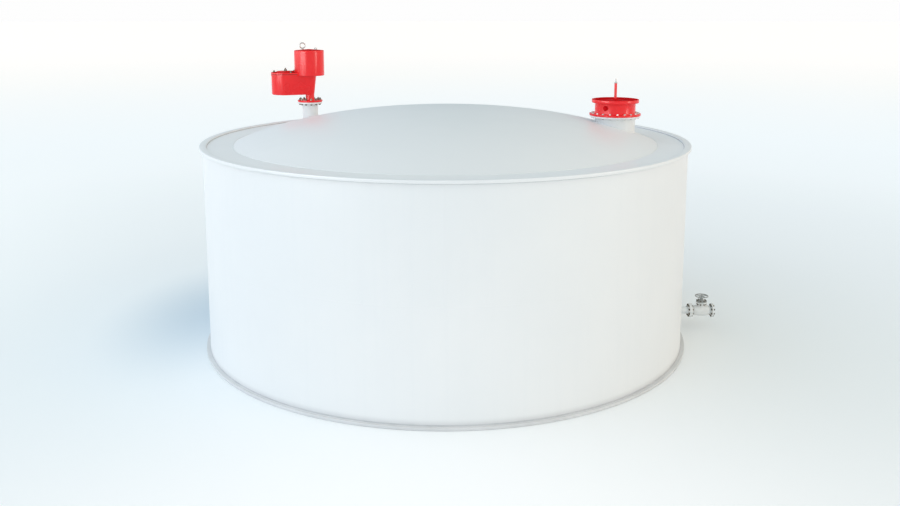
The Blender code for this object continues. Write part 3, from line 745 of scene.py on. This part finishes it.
def hexagon(flats, low, high):
    """The outline layers of a hexagon head or nut with its top corners taken off."""
    across = flats / math.sqrt(3)
    points = [(across * math.cos(math.pi / 3 * i), across * math.sin(math.pi / 3 * i)) for i in range(6)]
    smaller = [(x * (1 - CORNER_CUT), y * (1 - CORNER_CUT)) for x, y in points]
    return [(low, points), (high - (high - low) * CORNER_CUT * CORNER_SLOPE, points), (high, smaller)]


def disc(radius, low, high):
    points = [spot[:2] for spot in circle(radius, 0, DISC_SIDES)]
    return [(low, points), (high, points)]


def merged(parts):
    """Joins several bmesh shapes, each with the matrix that puts it in place, into one."""
    whole = bmesh.new()
    for part, matrix in parts:
        mesh = bpy.data.meshes.new("part")
        part.to_mesh(mesh)
        part.free()
        mesh.transform(matrix)
        whole.from_mesh(mesh)
        bpy.data.meshes.remove(mesh)
    return whole


def bolt_parts(matrix, grip, flats, thread, head=HEAD_HEIGHT, stud=0.0, nut=NUT_HEIGHT,
               past=THREAD_PAST_NUT):
    """A bolt along local Z: its head stands on the plane at 0, its nut is under the plane at minus grip."""
    under = -grip - WASHER_HEIGHT
    top = WASHER_HEIGHT + head
    shapes = [
        hexagon(flats, WASHER_HEIGHT, top),
        disc(flats * WASHER_SHARE, 0, WASHER_HEIGHT),
        disc(flats * WASHER_SHARE, under, -grip),
        hexagon(flats, under, under - nut),
        disc(thread, under - nut - past, under - nut / 2),
    ]
    if stud:
        shapes.append(disc(thread, top - head / 2, top + stud))
    return [(stacked(layers, (0, 0, 0)), matrix) for layers in shapes]


def bolt_ring(name, centre, circle_radius, count, first, grip, material, **sizes):
    """Bolts evenly round a level flange, the first at the angle given."""
    parts = []
    for i in range(count):
        angle = first + 2 * math.pi * i / count
        spot = Vector(centre) + Vector((circle_radius * math.cos(angle), circle_radius * math.sin(angle), 0))
        parts += bolt_parts(Matrix.Translation(spot) @ Matrix.Rotation(angle, 4, "Z"), grip, **sizes)
    return piece(name, merged(parts), material)


bolt_ring("breather_bolts", (breather.x, breather.y, BODY_FLANGE_TOP), BOLT_CIRCLE, BOLTS, FIRST_BOLT,
          BODY_FLANGE_TOP - FLANGE_BACK, DARK_ZINC, **BREATHER_BOLT)

# Arm lid and vacuum cover
# A red cover closes the top of the arm, a little larger than the arm, over a near-black gasket that is
# painted shadow in the gap. On its round end sits the cover of the vacuum valve, with a stud and nut in the
# middle and three bolts round it.
LID_LIP = 0.006
LID_ROUND = 0.005
LID_ROUND_START = 0.0015
COVER_RADIUS = 0.158
COVER_HEIGHT = 0.020
COVER_BOLT_CIRCLE = 0.203
COVER_BOLT_ANGLES = (180, 52, -52)
LID_FLANGE = 0.022
GASKET_THICKNESS = 0.008
GROOVE_DEPTH = 0.010
CLEAR = 0.1
COVER_BOLT = {"washer": 0.020, "flats": 0.036, "nut_top": 0.026, "thread": 0.010, "low": 0.020, "high": 0.036}
COVER_STUD = {"washer": 0.026, "flats": 0.044, "nut_top": 0.036, "thread": 0.013, "low": 0.0, "high": 0.058}

SHADOW_GASKET = painted("shadow_gasket_dark", (0.05, 0.012, 0.012), (0.035, 0.010, 0.010), drift=8.0, ripple=200.0,
                 ripple_depth=0.0002, gloss=0.65, dull=0.80)

arm_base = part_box("breather_arm_lid")[0].z
arm_lid_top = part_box("breather_arm_lid")[1].z
hood_radius = (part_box("breather_hood")[1].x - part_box("breather_hood")[0].x) / 2
groove_low = arm_base + LID_FLANGE
groove_high = groove_low + GASKET_THICKNESS


def lid_plan(inset):
    return arm_plan(ARM_END + LID_LIP - inset, COLUMN_HEAD + LID_LIP - inset)


edge = ((arm_base, 0), (groove_low, 0), (groove_low, GROOVE_DEPTH), (groove_high, GROOVE_DEPTH),
        (groove_high, 0), (arm_lid_top - LID_ROUND, 0),
        (arm_lid_top - LID_ROUND_START, LID_ROUND_START), (arm_lid_top, LID_ROUND))
layers = [(height, lid_plan(inset)) for height, inset in edge]
arm_lid = piece("arm_lid", stacked(layers, breather), RED_PAINT, nodes=["breather_arm_lid"])
shadow_gasket_shape = stacked([(height, lid_plan(GROOVE_DEPTH / 2)) for height in (groove_low, groove_high)], breather)
arm_shadow_gasket = piece("arm_shadow_gasket", shadow_gasket_shape, SHADOW_GASKET)
under_lid = arm_base - CLEAR
over_lid = arm_lid_top + CLEAR
for lid_part in (arm_lid, arm_shadow_gasket):
    outline = [(0, under_lid), (hood_radius, under_lid), (hood_radius, over_lid), (0, over_lid)]
    carve(lid_part, turned(outline, PIPE_SIDES, breather), "DIFFERENCE")

cover_spot = breather - Vector((ARM_REACH, 0, 0))
outline = [(0, arm_lid_top), (COVER_RADIUS, arm_lid_top), (COVER_RADIUS, arm_lid_top + COVER_HEIGHT),
           (0, arm_lid_top + COVER_HEIGHT)]
cover = piece("vacuum_cover", turned(rounded(outline, LID_ROUND), PIPE_SIDES, cover_spot), RED_PAINT,
              nodes=["breather_vacuum_cover"])
# The tops of the arm lid and the vacuum cover get the darker matt red: painted shade.
paint_shade_over(arm_lid, groove_high, cover_spot)
paint_shade_over(cover, arm_base, cover_spot)


def nut_on_stud(spot, washer, flats, nut_top, thread, low, high, washer_top=WASHER_HEIGHT):
    """A washer and a nut at the spot, with a stud's thread from low to high in them."""
    shapes = (disc(washer, 0, washer_top), hexagon(flats, washer_top, nut_top), disc(thread, low, high))
    return [(stacked(layers, spot), Matrix.Identity(4)) for layers in shapes]


parts = []
for degrees in COVER_BOLT_ANGLES:
    angle = math.radians(degrees)
    spot = cover_spot + Vector((math.cos(angle), math.sin(angle), 0)) * COVER_BOLT_CIRCLE
    spot.z = arm_lid_top
    parts += nut_on_stud(spot, **COVER_BOLT)
parts += nut_on_stud(Vector((cover_spot.x, cover_spot.y, arm_lid_top + COVER_HEIGHT)), **COVER_STUD)
piece("cover_fasteners", merged(parts), DARK_ZINC)

# Hood
# The red drum over the breather's outlet: rolled sheet with a rounded top edge and a shallow cone of a
# lid, whose darker matt red is painted shade. A plated nut holds it at the right.
HOOD_EDGE_ROUND = 0.014
HOOD_CROWN = 0.022
NUT_OFFSET = 0.115
NUT_SUNK = 0.002
HOOD_NUT = {"washer": 0.027, "flats": 0.042, "nut_top": 0.032, "thread": 0.012, "low": 0.020, "high": 0.042,
            "washer_top": 0.006}
HOOD_ROUND_STEPS = 5

hood_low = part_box("breather_hood")[0].z
hood_edge_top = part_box("breather_hood")[1].z - HOOD_CROWN
outline = [(0, hood_low), (hood_radius, hood_low), (hood_radius, hood_edge_top),
           (0, hood_edge_top + HOOD_CROWN)]
hood_shape = turned(rounded(outline, HOOD_EDGE_ROUND, HOOD_ROUND_STEPS), PIPE_SIDES * 2, breather)
hood = piece("hood", hood_shape, RED_PAINT, nodes=["breather_hood"])
paint_shade_over(hood, hood_edge_top, breather)
nut_seat = hood_edge_top + HOOD_CROWN * (1 - NUT_OFFSET / hood_radius) - NUT_SUNK
spot = Vector((breather.x + NUT_OFFSET, breather.y, nut_seat))
piece("hood_nut", merged(nut_on_stud(spot, **HOOD_NUT)), ZINC)

# Lifting eye
# A forged ring on a round foot, plated with zinc. Its foot screws into the hood's lid on the left, and
# the breather is lifted by it.
EYE_RING = 0.047
EYE_BAR = 0.010
EYE_TURN = math.radians(25)
EYE_FOOT_OUTLINE = ((0, -0.006), (0.030, -0.006), (0.030, 0.004), (0.0144, 0.012), (0.012, 0.026),
                    (0, 0.026))
EYE_FOOT_ROUND = 0.003
EYE_FOOT_SIDES = 32
EYE_SIDES = 48
BAR_SIDES = 14

low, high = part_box("breather_lifting_eye")
eye_foot = Vector(((low.x + high.x) / 2, (low.y + high.y) / 2, low.z))
eye_centre_height = high.z - EYE_RING - EYE_BAR


def ring_section(ring, bar):
    """Points round the bar of a ring, as (radius, height)."""
    turns = (2 * math.pi * i / BAR_SIDES for i in range(BAR_SIDES))
    return [(ring + bar * math.cos(turn), bar * math.sin(turn)) for turn in turns]


upright = Matrix.Translation((eye_foot.x, eye_foot.y, eye_centre_height)) @ Matrix.Rotation(EYE_TURN, 4, "Z")
upright = upright @ Matrix.Rotation(math.pi / 2, 4, "X")
foot = turned(rounded(EYE_FOOT_OUTLINE, EYE_FOOT_ROUND), EYE_FOOT_SIDES)
parts = [(turned(ring_section(EYE_RING, EYE_BAR), EYE_SIDES), upright), (foot, Matrix.Translation(eye_foot))]
piece("lifting_eye", merged(parts), ZINC, nodes=["breather_lifting_eye"])

# Relief nozzle
# A short, wide pipe through the dome, welded to it, with a flat flange for the emergency vent. It is
# painted white, and a grey bead in the corner under the flange is painted shadow.
RELIEF_PIPE = 0.305
RELIEF_PIPE_WALL = 0.0095
FLANGE_SHADOW_BEAD_SIZE = 0.012
RELIEF_BACK = 3.345
WIDE_SIDES = 96

low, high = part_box("relief_nozzle")
relief = (low + high) / 2
relief.z = 0
relief_flange = (high.x - low.x) / 2
relief_face = high.z
relief_foot = low.z
bore = RELIEF_PIPE - RELIEF_PIPE_WALL
outline = [(RELIEF_PIPE, relief_foot), (RELIEF_PIPE, RELIEF_BACK), (relief_flange, RELIEF_BACK),
           (relief_flange, relief_face), (bore, relief_face), (bore, relief_foot)]
piece("relief_nozzle_pipe", turned(rounded(outline, FLANGE_EDGE_ROUND), WIDE_SIDES, relief), WHITE_PAINT,
      nodes=["relief_nozzle"])
path = []
for spot in circle(RELIEF_PIPE, 0, WIDE_SIDES, relief):
    path.append((*spot[:2], dome_height(math.hypot(*spot[:2]))))
weld("relief_foot_weld", path, WELD_SIZE)
weld("relief_flange_shadow_bead", circle(RELIEF_PIPE, RELIEF_BACK, WIDE_SIDES, relief), FLANGE_SHADOW_BEAD_SIZE, SHADOW_BEAD_PAINT)

# Relief vent body
# A red casting like a low drum with a flange below and a broader rim above; the lid lies in its well,
# whose darker matt red on the rim and inner walls is painted shade. Its lower flange is held by twenty plated
# bolts.
RELIEF_BODY_FLANGE = 0.390
RELIEF_BODY_FLANGE_TOP = 3.405
RELIEF_WALL = 0.3075
RELIEF_WALL_INNER = 0.2955
RELIEF_RIM = 0.3575
RELIEF_RIM_BOTTOM = 3.567
RELIEF_WELL = 0.335
RELIEF_SEAT = 0.250
RELIEF_SEAT_TOP = 3.575
RELIEF_SEAT_BOTTOM = 3.553
RELIEF_BOLTS = 20
RELIEF_BOLT_CIRCLE = 0.352
RELIEF_FIRST_BOLT = math.radians(-94)
RELIEF_BOLT = {"flats": 0.028, "thread": 0.010, "nut": 0.009, "past": 0.001}
RELIEF_ROUND = 0.008

rim_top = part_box("relief_body")[1].z
outline = [(RELIEF_BODY_FLANGE, relief_face), (RELIEF_BODY_FLANGE, RELIEF_BODY_FLANGE_TOP),
           (RELIEF_WALL, RELIEF_BODY_FLANGE_TOP), (RELIEF_WALL, RELIEF_RIM_BOTTOM),
           (RELIEF_RIM, RELIEF_RIM_BOTTOM), (RELIEF_RIM, rim_top), (RELIEF_WELL, rim_top),
           (RELIEF_WELL, RELIEF_SEAT_TOP), (RELIEF_SEAT, RELIEF_SEAT_TOP), (RELIEF_SEAT, RELIEF_SEAT_BOTTOM),
           (RELIEF_WALL_INNER, RELIEF_SEAT_BOTTOM), (RELIEF_WALL_INNER, relief_face)]
casting = piece("relief_casting", turned(rounded(outline, RELIEF_ROUND), WIDE_SIDES, relief), RED_PAINT,
                nodes=["relief_body"])
paint_shade_over(casting, RELIEF_RIM_BOTTOM, relief)
bolt_ring("relief_bolts", (relief.x, relief.y, RELIEF_BODY_FLANGE_TOP), RELIEF_BOLT_CIRCLE, RELIEF_BOLTS,
          RELIEF_FIRST_BOLT, RELIEF_BODY_FLANGE_TOP - RELIEF_BACK, ZINC, **RELIEF_BOLT)

# Side plug
# A hexagon plug closes a tapping in the vent's side. It is steel, screwed into a round boss, and both
# have the lid's darker matt red, which is painted shade.
PLUG_AZIMUTH = math.radians(-127.5)
PLUG_HEIGHT = 3.499
BOSS_RADIUS = 0.040
BOSS_HEIGHT = 0.008
BOSS_ROUND = 0.003
BOSS_SIDES = 32
BOSS_SUNK = 0.004
PLUG_FLATS = 0.052
PLUG_END = 0.022

outward = Matrix.Translation((relief.x, relief.y, PLUG_HEIGHT)) @ Matrix.Rotation(PLUG_AZIMUTH, 4, "Z")
outward = outward @ Matrix.Translation((RELIEF_WALL - BOSS_SUNK, 0, 0)) @ Matrix.Rotation(math.pi / 2, 4, "Y")
boss = rounded([(0, 0), (BOSS_RADIUS, 0), (BOSS_RADIUS, BOSS_HEIGHT), (0, BOSS_HEIGHT)], BOSS_ROUND)
parts = [(turned(boss, BOSS_SIDES), outward),
         (stacked(hexagon(PLUG_FLATS, BOSS_HEIGHT, PLUG_END), (0, 0, 0)), outward)]
piece("side_plug", merged(parts), SHADED_MATT_RED, nodes=["relief_plug"])

# Relief lid
# A red disc with a raised step and a hub. It lies loose on the seat, lifts in a surge, and slides up the
# guide tube; only its weight closes it.
LID_RADIUS = 0.290
LID_THICKNESS = 0.014
LID_STEP = 0.180
LID_STEP_HEIGHT = 0.013
LID_BORE = 0.0225
LID_HUB = 0.054
LID_HUB_HEIGHT = 0.030
LID_HUB_WALL = 0.008

lid_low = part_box("relief_lid")[0].z
step_low = lid_low + LID_THICKNESS
step_top = step_low + LID_STEP_HEIGHT
outline = [(LID_BORE, lid_low), (LID_RADIUS, lid_low), (LID_RADIUS, step_low), (LID_STEP, step_low),
           (LID_STEP, step_top), (LID_HUB, step_top),
           (LID_BORE + LID_HUB_WALL, step_top + LID_HUB_HEIGHT), (LID_BORE, step_top + LID_HUB_HEIGHT)]
lid = turned(rounded(outline, LID_ROUND), WIDE_SIDES, relief)
# The lid is in the darker matt red: painted shade down in the vent's well.
piece("vent_lid", lid, SHADED_MATT_RED, "relief_lid", ["relief_lid"])

# Guide tube
# A red steel tube guides the lid as it lifts. It is welded on a cross-bar that lies inside the vent, and
# a plated collar and pin close its top.
GUIDE_RADIUS = 0.0205
GUIDE_TOP = 3.862
COLLAR_RADIUS = 0.029
COLLAR_HEIGHT = 0.011
COLLAR_SHOULDER = 0.017
TIP_RADIUS = 0.010
TIP_TAPER = 0.014
GUIDE_ROUND = 0.003
GUIDE_SIDES = 40
BAR_WIDTH = 0.050
BAR_BOTTOM = 3.500
BAR_TOP = 3.520

guide_low, guide_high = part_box("relief_guide")
outline = [(0, BAR_BOTTOM), (GUIDE_RADIUS, BAR_BOTTOM), (GUIDE_RADIUS, GUIDE_TOP), (0, GUIDE_TOP)]
tube = turned(rounded(outline, GUIDE_ROUND), GUIDE_SIDES, relief)
guide = piece("guide_tube", tube, RED_PAINT, nodes=["relief_guide"])
reach = (guide_high.x - guide_low.x) / 2
half_bar = BAR_WIDTH / 2
plan = [(-reach, -half_bar), (reach, -half_bar), (reach, half_bar), (-reach, half_bar)]
carve(guide, stacked([(BAR_BOTTOM, plan), (BAR_TOP, plan)], relief), "UNION")
collar_top = GUIDE_TOP + COLLAR_HEIGHT
outline = [(0, GUIDE_TOP), (COLLAR_RADIUS, GUIDE_TOP), (COLLAR_RADIUS, collar_top),
           (COLLAR_SHOULDER, collar_top), (TIP_RADIUS, collar_top + TIP_TAPER), (TIP_RADIUS, guide_high.z),
           (0, guide_high.z)]
piece("guide_pin", turned(rounded(outline, GUIDE_ROUND), GUIDE_SIDES, relief), ZINC)

# Outlet nozzle
# A 114 mm pipe out of the lower course, welded to the shell, with a flange that has a short conical hub.
# It is painted white with the tank, and the valve is bolted to it.
OUTLET_HEIGHT = 0.290
OUTLET_PIPE = 0.05715
OUTLET_WALL = 0.006
VALVE_FLANGE = 0.110
VALVE_FLANGE_THICKNESS = 0.021
HUB_LENGTH = 0.012
HUB_WALL = 0.010

low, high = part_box("outlet_nozzle")
outlet_face = high.x
outlet_start = low.x
back = outlet_face - VALVE_FLANGE_THICKNESS
outline = [(OUTLET_PIPE, outlet_start), (OUTLET_PIPE, back - HUB_LENGTH), (OUTLET_PIPE + HUB_WALL, back),
           (VALVE_FLANGE, back), (VALVE_FLANGE, outlet_face), (OUTLET_PIPE - OUTLET_WALL, outlet_face),
           (OUTLET_PIPE - OUTLET_WALL, outlet_start)]
level_axis = Matrix.Translation((0, 0, OUTLET_HEIGHT)) @ Matrix.Rotation(math.pi / 2, 4, "Y")
nozzle = turned(rounded(outline, FLANGE_EDGE_ROUND), PIPE_SIDES)
piece("outlet_nozzle_pipe", merged([(nozzle, level_axis)]), WHITE_PAINT,
      nodes=["outlet_nozzle"])
path = []
for spot in circle(OUTLET_PIPE, 0, PIPE_SIDES):
    path.append((math.sqrt(shell_radius**2 - spot[0]**2), spot[0], OUTLET_HEIGHT + spot[1]))
weld("outlet_weld", path, WELD_SIZE)

# Globe valve
# A cast body with a round belly between two flanges and a short tower, in pale grey paint. The near flange
# is bolted to the nozzle; the far one is open, with its own bolts in it.
VALVE_BORE = 0.050
VALVE_BORE_DEPTH = 0.120
VALVE_NECK = 0.066
VALVE_BELLY = 0.086
BELLY_STEPS = 16
BELLY_SET_IN = 0.030
TOWER_RADIUS = 0.054
TOWER_FOOT = 0.062
TOP_FLANGE = 0.0825
TOP_FLANGE_LOW = 0.118
TOP_FLANGE_HIGH = 0.136
VALVE_ROUND = 0.004

GREY_PAINT = painted("grey_paint", (0.78, 0.79, 0.785), (0.71, 0.72, 0.715), drift=9.0, run_off=0.2,
                     ripple=150.0, ripple_depth=0.0006, gloss=0.34, dull=0.50)

low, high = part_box("valve_body")
near = low.x + VALVE_FLANGE_THICKNESS
far = high.x - VALVE_FLANGE_THICKNESS
middle = (low.x + high.x) / 2
reach = (far - near) / 2 - BELLY_SET_IN
outline = [(0, low.x + VALVE_BORE_DEPTH), (VALVE_BORE, low.x + VALVE_BORE_DEPTH), (VALVE_BORE, low.x),
           (VALVE_FLANGE, low.x), (VALVE_FLANGE, near), (VALVE_NECK, near)]
for i in range(BELLY_STEPS + 1):
    angle = math.pi * i / BELLY_STEPS
    bulge = (VALVE_BELLY - VALVE_NECK) * math.sin(angle)
    outline.append((VALVE_NECK + bulge, middle - reach * math.cos(angle)))
outline += [(VALVE_NECK, far), (VALVE_FLANGE, far), (VALVE_FLANGE, high.x), (VALVE_BORE, high.x),
            (VALVE_BORE, high.x - VALVE_BORE_DEPTH), (0, high.x - VALVE_BORE_DEPTH)]
belly = merged([(turned(rounded(outline, VALVE_ROUND), PIPE_SIDES), level_axis)])
valve = piece("valve_casting", belly, GREY_PAINT, nodes=["valve_body"])
outline = [(0, TOWER_FOOT), (TOWER_RADIUS, TOWER_FOOT), (TOWER_RADIUS, TOP_FLANGE_LOW),
           (TOP_FLANGE, TOP_FLANGE_LOW), (TOP_FLANGE, TOP_FLANGE_HIGH), (0, TOP_FLANGE_HIGH)]
valve_stand = Vector((middle, 0, OUTLET_HEIGHT))
carve(valve, turned(rounded(outline, VALVE_ROUND), PIPE_SIDES, valve_stand), "UNION")

# Valve bolts
# Plated steel bolts with nuts: eight through the nozzle's and the valve's flanges, eight in the valve's
# open flange, and eight smaller ones through the bonnet's flange.
FLANGE_BOLTS = 8
FLANGE_BOLT_CIRCLE = 0.0865
BONNET_BOLTS = 8
BONNET_BOLT_CIRCLE = 0.0690
BONNET_FLANGE_TOP = 0.153
FLANGE_BOLT = {"flats": 0.025, "thread": 0.008, "past": 0.003}
BONNET_BOLT = {"flats": 0.019, "thread": 0.005}

turned_round = Matrix.Rotation(math.pi, 4, "X")
parts = []
for x, y, near_face in circle(FLANGE_BOLT_CIRCLE, near, FLANGE_BOLTS, turn=math.pi / FLANGE_BOLTS):
    parts += bolt_parts(level_axis @ Matrix.Translation((x, y, near_face)), near - back, **FLANGE_BOLT)
    far_seat = level_axis @ Matrix.Translation((x, y, far)) @ turned_round
    parts += bolt_parts(far_seat, high.x - far, **FLANGE_BOLT)
for spot in circle(BONNET_BOLT_CIRCLE, BONNET_FLANGE_TOP, BONNET_BOLTS, turn=math.pi / BONNET_BOLTS):
    seat = Matrix.Translation(valve_stand + Vector(spot))
    parts += bolt_parts(seat, BONNET_FLANGE_TOP - TOP_FLANGE_LOW, **BONNET_BOLT)
piece("valve_bolts", merged(parts), DARK_ZINC)

# Bonnet
# The valve's cover: a flange, a cone and a gland for the stem, cast in one piece. It is bolted on the
# valve's tower and painted a darker grey than the body.
CONE_TOP = 0.184
CONE_RADIUS = 0.056
GLAND_RADIUS = 0.024
GLAND_TOP = 0.204
STEM_BORE = 0.0096
STEM_PIT = 0.1497

IRON_GREY = painted("iron_grey", (0.38, 0.395, 0.39), (0.31, 0.325, 0.32), drift=9.0, run_off=0.2,
                    ripple=150.0, ripple_depth=0.0006, gloss=0.45, dull=0.60)

bonnet_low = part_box("valve_bonnet")[0].z - OUTLET_HEIGHT
outline = [(0, bonnet_low), (TOP_FLANGE, bonnet_low), (TOP_FLANGE, BONNET_FLANGE_TOP),
           (CONE_RADIUS, BONNET_FLANGE_TOP), (GLAND_RADIUS, CONE_TOP), (GLAND_RADIUS, GLAND_TOP),
           (STEM_BORE, GLAND_TOP), (STEM_BORE, STEM_PIT), (0, STEM_PIT)]
piece("bonnet", turned(rounded(outline, VALVE_ROUND), PIPE_SIDES, valve_stand), IRON_GREY,
      nodes=["valve_bonnet"])

# Stem and handwheel
# A plated steel stem turns in the gland. The cast wheel on it has a round rim and five spokes, in the
# bonnet's grey paint, and a nut holds it down.
STEM_RADIUS = 0.0088
STEM_BOTTOM = 0.150
STEM_ROUND = 0.001
STEM_SIDES = 32
WHEEL_RADIUS = 0.096
WHEEL_RIM = 0.0085
WHEEL_HUB = 0.019
HUB_ROUND = 0.003
HUB_SIDES = 40
WHEEL_NUT = (0.022, 0.008)
WHEEL_SPOKES = 5
WHEEL_TURN = math.radians(5)
RIM_SIDES = 96
SPOKE_RADIUS = 0.0062
SPOKE_END = 0.00527
SPOKE_SIDES = 16

wheel_low, wheel_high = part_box("valve_handwheel")
outline = [(0, STEM_BOTTOM), (STEM_RADIUS, STEM_BOTTOM), (STEM_RADIUS, wheel_low.z - OUTLET_HEIGHT),
           (0, wheel_low.z - OUTLET_HEIGHT)]
piece("stem", turned(rounded(outline, STEM_ROUND), STEM_SIDES, valve_stand), ZINC, "handwheel",
      ["valve_stem"])
wheel_centre = Vector((middle, 0, (wheel_low.z + wheel_high.z) / 2))
half = (wheel_high.z - wheel_low.z) / 2
hub = rounded([(0, -half), (WHEEL_HUB, -half), (WHEEL_HUB, half), (0, half)], HUB_ROUND)
seat = Matrix.Translation(wheel_centre)
parts = [(turned(hub, HUB_SIDES), seat), (turned(ring_section(WHEEL_RADIUS, WHEEL_RIM), RIM_SIDES), seat)]
for i in range(WHEEL_SPOKES):
    spoke = turned([(0, 0), (SPOKE_RADIUS, 0), (SPOKE_END, WHEEL_RADIUS), (0, WHEEL_RADIUS)], SPOKE_SIDES)
    turn = Matrix.Rotation(WHEEL_TURN + 2 * math.pi * i / WHEEL_SPOKES, 4, "Z")
    parts.append((spoke, seat @ turn @ Matrix.Rotation(math.pi / 2, 4, "Y")))
nut_flats, nut_height = WHEEL_NUT
parts.append((stacked(hexagon(nut_flats, half, half + nut_height), (0, 0, 0)), seat))
piece("handwheel", merged(parts), IRON_GREY, "handwheel", ["valve_handwheel"])
